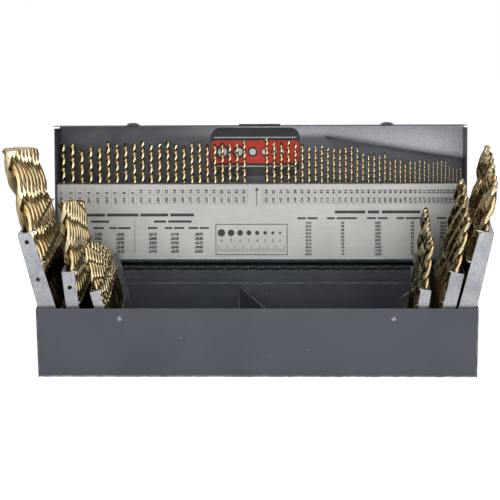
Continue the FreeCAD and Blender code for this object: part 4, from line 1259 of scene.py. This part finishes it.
@dataclass
class Lid:
    """The lid's shell and the bit stop in it."""

    finishes: Finishes
    nodes: dict[str, Object]
    shell_wear: float = 0.3
    # Only faces higher than this, in the upright lid, get the painted pool of light
    rubbed_above: float = 15.0

    def build(self) -> None:
        """Refine the shell and the bit stop, and dress the hidden rest strip."""
        self.sheet("lid_shell", "lid_pan", Vector((0, -1, 0)), self.shell_wear)
        self.sheet("bit_stop", "slanting_bit_stop", Vector((0, 0, 1)), 0.0)
        dressed(self.nodes["number_rest"], self.finishes.zinc)

    def sheet(self, node: str, name: str, way: Vector, wear: float) -> None:
        """A refined sheet, with the faces inside the lid that get painted light noted on it.

        Args:
            node: The solid that it stands for.
            name: Its name.
            way: Which way its faces with painted light look, in the upright lid.
            wear: How far its edges are worn, as a share of the tray's.
        """
        piece = dressed(refined(self.nodes[node], name), self.finishes.enamel)
        # Painted light: faces looking the given way and high enough are noted to be painted pale where light falls
        leaning, upright = lid_place().to_3x3() @ way, lid_place().inverted()
        pale = [
            face.normal.dot(leaning) > 0.8 and (upright @ face.center).y > self.rubbed_above * MM
            for face in piece.data.polygons
        ]
        noted(piece, "rubbed", pale)
        noted(piece, "rim", [mark.value * wear for mark in piece.data.attributes["rim"].data])
        fitted(piece, Body.LID, [node])


# Fans


@dataclass(frozen=True)
class LeafForm:
    """The sizes that a leaf shares with its twin on the other side, millimetres."""

    top: float
    second: float
    foot_width: float
    top_width: float
    overhang: float
    corner: float
    row_gap: float


@dataclass
class FoldOutLeaf:
    """One leaf of a fan: a folded sheet, two drilled shelves, its pins and its row of bits.

    Its foot shelf may rise to the back, and its back flange may have a wing of a width and a height. Its bits may be
    longer than the standard, and the thinner ones drift inwards by a share of what they are thinner.
    """

    name: str
    pivot: Vector
    form: LeafForm
    diameters: Sequence[float]
    side: int
    lean: float
    turns: Span
    flange_holes: tuple[float, ...] = ()
    rest_rise: float = 0.0
    wing: Span = (0.0, 0.0)
    longer: float = 0.0
    drift: float = 0.0
    half_length: float = 60.0
    foot_drop: float = 5.0
    seat: float = 1.5
    play: float = 0.2
    flange_hole: float = 1.9
    pin_reach: Point = (59.1, 61.73, 62.63)
    pin_radii: Span = (3.0, 1.6)

    @property
    def outer(self) -> float:
        """The leaf's outer face, out from its pivot line."""
        return self.form.foot_width / 2

    @property
    def place(self) -> Matrix:
        """Where the leaf's own upright frame sits: leaning out on its pivots."""
        lean = Matrix.Rotation(math.radians(self.side * self.lean), 4, "Y")
        return Matrix.Translation(self.pivot) @ lean

    def inner_edge(self, height: float) -> float:
        """Where the flange's inner edge is at a height above the pivot."""
        form = self.form
        width = form.foot_width + (form.top_width - form.foot_width) * height / form.top
        return self.outer - width

    def row_line(self, size: float) -> float:
        """Where a bit of this size stands across the leaf."""
        widest = max(self.diameters)
        line = self.outer - SHEET - self.form.row_gap - widest / 2
        return self.side * (line - self.drift * (widest - size) / 2)

    def rest(self, y: float) -> float:
        """How high the foot shelf is at a place along the leaf."""
        return self.seat + self.rest_rise * (y + self.half_length) / (2 * self.half_length)

    def seats(self) -> list[Span]:
        """Each bit's diameter and its place along the leaf."""
        inside = 2 * (self.half_length - SHEET)
        gap = (inside - sum(self.diameters)) / (len(self.diameters) + 1)
        place, seats = -inside / 2, []
        for size in self.diameters:
            seats.append((size, place + gap + size / 2))
            place += gap + size
        return seats

    def build(self, rack: DrillRack, finishes: Finishes) -> None:
        """Every piece of the leaf."""
        self.deliver(dressed(self.folded_sheet(), finishes.zinc), "frame")
        shelves = (("upper_shelf", self.form.top, "top_shelf"), ("lower_shelf", self.form.second, "second_shelf"))
        for name, height, node in shelves:
            shelf = dressed(self.shelf(f"{self.name}_{name}", height), finishes.drawn_zinc)
            self.deliver(shelf, node)
        self.deliver(dressed(self.pins(), finishes.dark_steel), "pivots")
        bits = []
        for size, y in self.seats():
            place = at((self.row_line(size), y, self.rest(y + size / 2)))
            bits.append(rack.bit(rack.large, size, place, rack.length(size) + self.longer, self.turns))
        drills = smoothed(joined(f"{self.name}_drills", bits), DRILL_CREASE)
        self.deliver(dressed(drills, finishes.gold), "bits")

    def deliver(self, piece: Object, node: str) -> None:
        """Lean a piece out with the leaf and hand it to the frame."""
        fitted(settle(piece, self.place), Body(self.name), [f"{self.name}_{node}"])

    def folded_sheet(self) -> Object:
        """Web, end flanges and foot shelf."""
        side, reach, foot, top = self.side, self.half_length, -self.foot_drop, self.form.top
        widest = min(self.inner_edge(0), self.inner_edge(top)) - self.wing[0]
        low, high = sorted((side * widest, side * self.outer))
        sheet = block(f"{self.name}_sheet", (low, -reach, foot), (high, reach, top))
        with editing(sheet):
            pick(Part.FACES, lambda m, w: abs(w.z) > 0.9 or w.x * side < -0.9)
            bpy.ops.mesh.delete(type="FACE")
            self.cut_flanges()
            rim = self.outer - 1
            round_off(Part.VERTS, self.foot_drop / 2, 4, lambda m, w: near(m.z, foot) and m.x * side < rim)
            round_off(
                Part.VERTS, self.form.corner, 5,
                lambda m, w: near(m.z, top) and m.x * side < rim and (m.y < 0 or not self.wing[1]),
            )
            round_off(Part.EDGES, SHEET, 4, lambda m, w: abs(w.z) > 0.9 and near(m.x * side, self.outer))
        shaped(sheet, "SOLIDIFY", thickness=SHEET * MM, offset=-1, use_even_offset=True)
        if self.flange_holes:
            cutters = []
            for height in self.flange_holes:
                across = side * (self.outer + self.inner_edge(height)) / 2
                ends = ((across, -reach + way, height) for way in (-3, 3))
                cutters.append(rod("hole", *ends, self.flange_hole, 24))
            drilled(sheet, cutters)
        return joined(sheet.name, [smoothed(eased(sheet, 0.15)), self.foot_shelf()])

    def foot_shelf(self) -> Object:
        """The plate that the bits stand on, which climbs to the back under short bits."""
        inside = self.half_length - SHEET
        low, high = sorted((self.side * (self.inner_edge(0) + 0.2), self.side * (self.outer - SHEET)))
        base = block("foot_shelf", (low, -inside, self.seat - SHEET), (high, inside, self.seat))
        with editing(base, Part.VERTS):
            for way in (-1, 1):
                pick(Part.VERTS, lambda m, w: m.y * way > 0)
                bpy.ops.transform.translate(value=(0, 0, (self.rest(way * inside) - self.seat) * MM))
        return eased(base, 0.15)

    def cut_flanges(self) -> None:
        """Cut both flanges to their width, in edit mode, leaving a wing on the back one where it has one."""
        top = self.form.top
        foot_edge, top_edge = self.inner_edge(0), self.inner_edge(top)
        self.trim(-1, (foot_edge, 0), (top_edge, top))
        width, height = self.wing
        if height and height < top:
            self.trim(1, (foot_edge - width, height), (foot_edge, height + width))
            self.clear_above(foot_edge, height + width)
        else:
            self.trim(1, (foot_edge - width, 0), (top_edge - width, top))

    def clear_above(self, edge: float, height: float) -> None:
        """Cut the back flange's part above a wing back to its plain width, in edit mode."""
        pick(Part.FACES, lambda m, w: abs(w.y) > 0.9 and m.y > 0)
        bpy.ops.mesh.bisect(plane_co=Vector((0, 0, height)) * MM, plane_no=(0, 0, 1))
        pick(Part.FACES, lambda m, w: abs(w.y) > 0.9 and m.y > 0 and m.z > height)
        bpy.ops.mesh.bisect(
            plane_co=Vector((edge * self.side, 0, 0)) * MM, plane_no=(-self.side, 0, 0), clear_outer=True
        )

    def trim(self, end_way: int, start: Span, end: Span) -> None:
        """Cut one flange along a line across the leaf, in edit mode, keeping the outer side.

        Args:
            end_way: The flange: -1 for the front one, 1 for the back one.
            start: The line's lower point, out from and up from the pivot, millimetres.
            end: Its upper point.
        """
        run = Vector((end[0] - start[0], 0, end[1] - start[1])).normalized()
        inward = Vector((-run.z * self.side, 0, run.x))
        pick(Part.FACES, lambda m, w: abs(w.y) > 0.9 and m.y * end_way > 0)
        bpy.ops.mesh.bisect(
            plane_co=Vector((start[0] * self.side, 0, start[1])) * MM, plane_no=inward, clear_outer=True
        )

    def shelf(self, name: str, height: float) -> Object:
        """A shelf between the flanges with a hole for every bit.

        Args:
            name: The shelf's name.
            height: Its top above the pivot, millimetres.

        Returns:
            The shelf.
        """
        side, reach, overhang = self.side, self.half_length - SHEET, self.form.overhang
        edge = self.inner_edge(height) - overhang
        low, high = sorted((side * edge, side * (self.outer - SHEET)))
        plate = block(name, (low, -reach, height - SHEET), (high, reach, height))
        with editing(plate, Part.EDGES):
            corner = min(3.6, overhang + SHEET)
            round_off(Part.EDGES, corner, 6, lambda m, w: abs(w.z) > 0.9 and near(m.x, side * edge))
        cutters = []
        for size, y in self.seats():
            row = self.row_line(size)
            cutters.append(rod("hole", (row, y, height - 3), (row, y, height + 3), size / 2 + self.play, 24))
        return smoothed(rimmed(drilled(plate, cutters), SHEET))

    def pins(self) -> Object:
        """The shouldered pins at both ends."""
        pins = []
        for way in (-1, 1):
            start, shoulder, end = ((0, way * reach, 0) for reach in self.pin_reach)
            pins.append(eased(rod("shoulder", start, shoulder, self.pin_radii[0], 24), 0.2))
            pins.append(eased(rod("stub", shoulder, end, self.pin_radii[1], 20), 0.12))
        return joined(f"{self.name}_pins", pins)


@dataclass
class Fans:
    """Both fans of three leaves."""

    finishes: Finishes
    rack: DrillRack
    pivots: dict[str, Vector]
    largest_letter: float = 10.49
    letters: tuple[float, ...] = (
        0.5666, 0.5763, 0.5860, 0.5956, 0.6053, 0.6223, 0.6320, 0.6441, 0.6586, 0.6707, 0.6804, 0.7022, 0.7143,
        0.7312, 0.7651, 0.7821, 0.8039, 0.8208, 0.8426, 0.8668, 0.8910, 0.9128, 0.9346, 0.9613, 0.9782, 1.0,
    )

    def leaves(self) -> list[FoldOutLeaf]:
        """The six leaves, each from its form, its row of sizes and what is its own."""
        halves = [i / 64 * INCH for i in range(32, 3, -1)]
        sizes = [self.largest_letter * share for share in self.letters]
        rows = {
            "left": {"outer": halves[:8], "middle": halves[8:17], "inner": halves[17:]},
            "right": {"inner": sizes[:9], "middle": sizes[9:18], "outer": sizes[18:]},
        }
        sides = {"left": {"side": -1, "turns": (70.0, 96.0)}, "right": {"side": 1, "turns": (0.0, 180.0)}}
        forms = {
            "outer": LeafForm(81.0, 53.0, 15.8, 12.4, 4.2, 4.2, 1.5),
            "middle": LeafForm(63.0, 35.0, 11.9, 11.4, 2.6, 2.4, 1.5),
            "inner": LeafForm(61.5, 48.0, 9.4, 9.0, 1.9, 0.8, 0.5),
        }
        own = {
            "left_outer": {"lean": 13.0, "flange_holes": (73.1, 38.7), "longer": 1.5, "drift": 1.0},
            "left_middle": {"lean": 5.0, "flange_holes": (49.0,), "longer": -4.2, "drift": 1.0},
            "left_inner": {"lean": 13.5, "rest_rise": 20.0, "wing": (4.2, 61.5), "longer": -2.0, "drift": 1.6},
            "right_outer": {"lean": 11.5, "longer": -2.2},
            "right_middle": {"lean": 12.0},
            "right_inner": {"lean": 7.5, "wing": (7.6, 14.5)},
        }
        made = []
        for name, values in own.items():
            hand, rank = name.split("_")
            leaf = FoldOutLeaf(name, self.pivots[name], forms[rank], rows[hand][rank], **sides[hand], **values)
            made.append(leaf)
        return made

    def build(self) -> None:
        """Every leaf of both fans."""
        for leaf in self.leaves():
            leaf.build(self.rack, self.finishes)


# Studio


@dataclass
class Studio:
    """A pale floor, soft lamps and the camera."""

    eye: Point = (49.69, -1584.82, 535.35)
    pitch: float = 15.447
    yaw: float = 2.055
    roll: float = -0.603
    focal_share: float = 1853.59 / 500
    sensor: float = 36.0
    aim: Point = (0, 0, 80)
    floor_size: float = 2.8
    lamps: tuple[tuple[str, Point, float, float], ...] = (
        ("key", (-550, -1450, 640), 1.3, 15.5),
        ("fill", (750, -1400, 480), 1.2, 15.5),
        ("top", (0, 0, 1500), 1.2, 3.5),
    )

    def build(self) -> None:
        """Floor, lamps, world and camera."""
        self.floor()
        for name, place, size, power in self.lamps:
            self.lamp(name, place, size, power)
        self.world()
        self.camera()

    def camera(self) -> None:
        """The camera where the photograph was taken from."""
        pitch, yaw, roll = (math.radians(a) for a in (self.pitch, self.yaw, self.roll))
        ahead = Vector((-math.sin(yaw) * math.cos(pitch), math.cos(yaw) * math.cos(pitch), -math.sin(pitch)))
        level = Vector((math.cos(yaw), math.sin(yaw), 0))
        above = level.cross(ahead)
        right = level * math.cos(roll) + above * math.sin(roll)
        top = above * math.cos(roll) - level * math.sin(roll)
        bpy.ops.object.camera_add()
        camera = bpy.context.object
        camera.matrix_world = at(self.eye) @ Matrix((right, top, -ahead)).transposed().to_4x4()
        camera.data.sensor_width = self.sensor
        camera.data.lens = self.sensor * self.focal_share
        camera.data.clip_start, camera.data.clip_end = 0.05, 50.0
        bpy.context.scene.camera = camera

    def lamp(self, name: str, place: Point, size: float, power: float) -> None:
        """A soft square lamp that faces the case.

        Args:
            name: The lamp's name.
            place: Where it hangs, millimetres.
            size: Its side, metres.
            power: Its power, watts.
        """
        spot = Vector(place) * MM
        bpy.ops.object.light_add(type="AREA", location=spot)
        lamp = bpy.context.object
        lamp.name = name
        lamp.rotation_euler = (Vector(self.aim) * MM - spot).to_track_quat("-Z", "Y").to_euler()
        lamp.data.size, lamp.data.energy = size, power

    def floor(self) -> None:
        """A pale floor that keeps the case's shadow and shows white where it is lit."""
        bpy.ops.mesh.primitive_plane_add(size=self.floor_size)
        floor = bpy.context.object
        floor.name = "studio_floor"
        recipe = Recipe("pale_floor")
        recipe.finish(tone((238, 238, 238)), 0.7)
        plain = recipe.shader.outputs[0]
        glow = recipe.node("ShaderNodeEmission", Color=(1, 1, 1, 1), Strength=0.8).outputs[0]
        both = recipe.node("ShaderNodeAddShader", plain, glow).outputs[0]
        ray = recipe.node("ShaderNodeLightPath").outputs
        seen = recipe.math("MAXIMUM", ray["Is Camera Ray"], recipe.product(ray["Is Glossy Ray"], 0.2))
        seen = recipe.math("MAXIMUM", seen, ray["Is Transmission Ray"])
        recipe.feed(recipe.tree.nodes["Material Output"].inputs[0], recipe.switch(seen, plain, both))
        dressed(floor, recipe.material)

    def world(self) -> None:
        """Soft light from all round that is stronger behind in reflections, and a white backdrop."""
        world = bpy.data.worlds.new("studio")
        bpy.context.scene.world = world
        world.use_nodes = True
        world.node_tree.nodes.clear()
        tree = Tree(world.node_tree)
        ray = tree.node("ShaderNodeLightPath").outputs
        way = tree.node("ShaderNodeTexCoord").outputs["Generated"]
        depth = tree.node("ShaderNodeSeparateXYZ", way).outputs["Y"]
        soft = tree.node("ShaderNodeBackground", (0.93, 0.96, 1.0, 1.0), 0.2).outputs[0]
        room = tree.node("ShaderNodeBackground", Strength=tree.curve(depth, -0.55, 0.25, 0.12, 1.0)).outputs[0]
        white = tree.node("ShaderNodeBackground", (1, 1, 1, 1)).outputs[0]
        lit = tree.switch(ray["Is Glossy Ray"], soft, room)
        tree.node("ShaderNodeOutputWorld", tree.switch(ray["Is Camera Ray"], lit, white))


def main() -> None:
    """Build the case's looks around its solids."""
    logging.basicConfig(level=logging.INFO, format="%(message)s")
    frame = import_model()
    bpy.ops.object.select_all(action="DESELECT")
    nodes: dict[str, Object] = frame["nodes"]
    finishes = Finishes()
    for node in nodes.values():
        dressed(node, finishes.dark_steel if node.name == "hinge_pin" else finishes.zinc)
    pivots = {joint["child"]: Vector(joint["pos_m"]) for joint in frame["joints"]}
    rack = DrillRack()
    rack.model()
    CaseTray(finishes, nodes).build()
    PianoHinge(finishes).build()
    Lid(finishes, nodes).build()
    row = NumberRow()
    NumberPanel(finishes, row).build()
    row.build(rack, finishes)
    SizeLabel(finishes).build()
    Fans(finishes, rack, pivots).build()
    rack.clear()
    Studio().build()
    bpy.context.scene.view_settings.view_transform = "Standard"


if __name__ == "__main__":
    main()
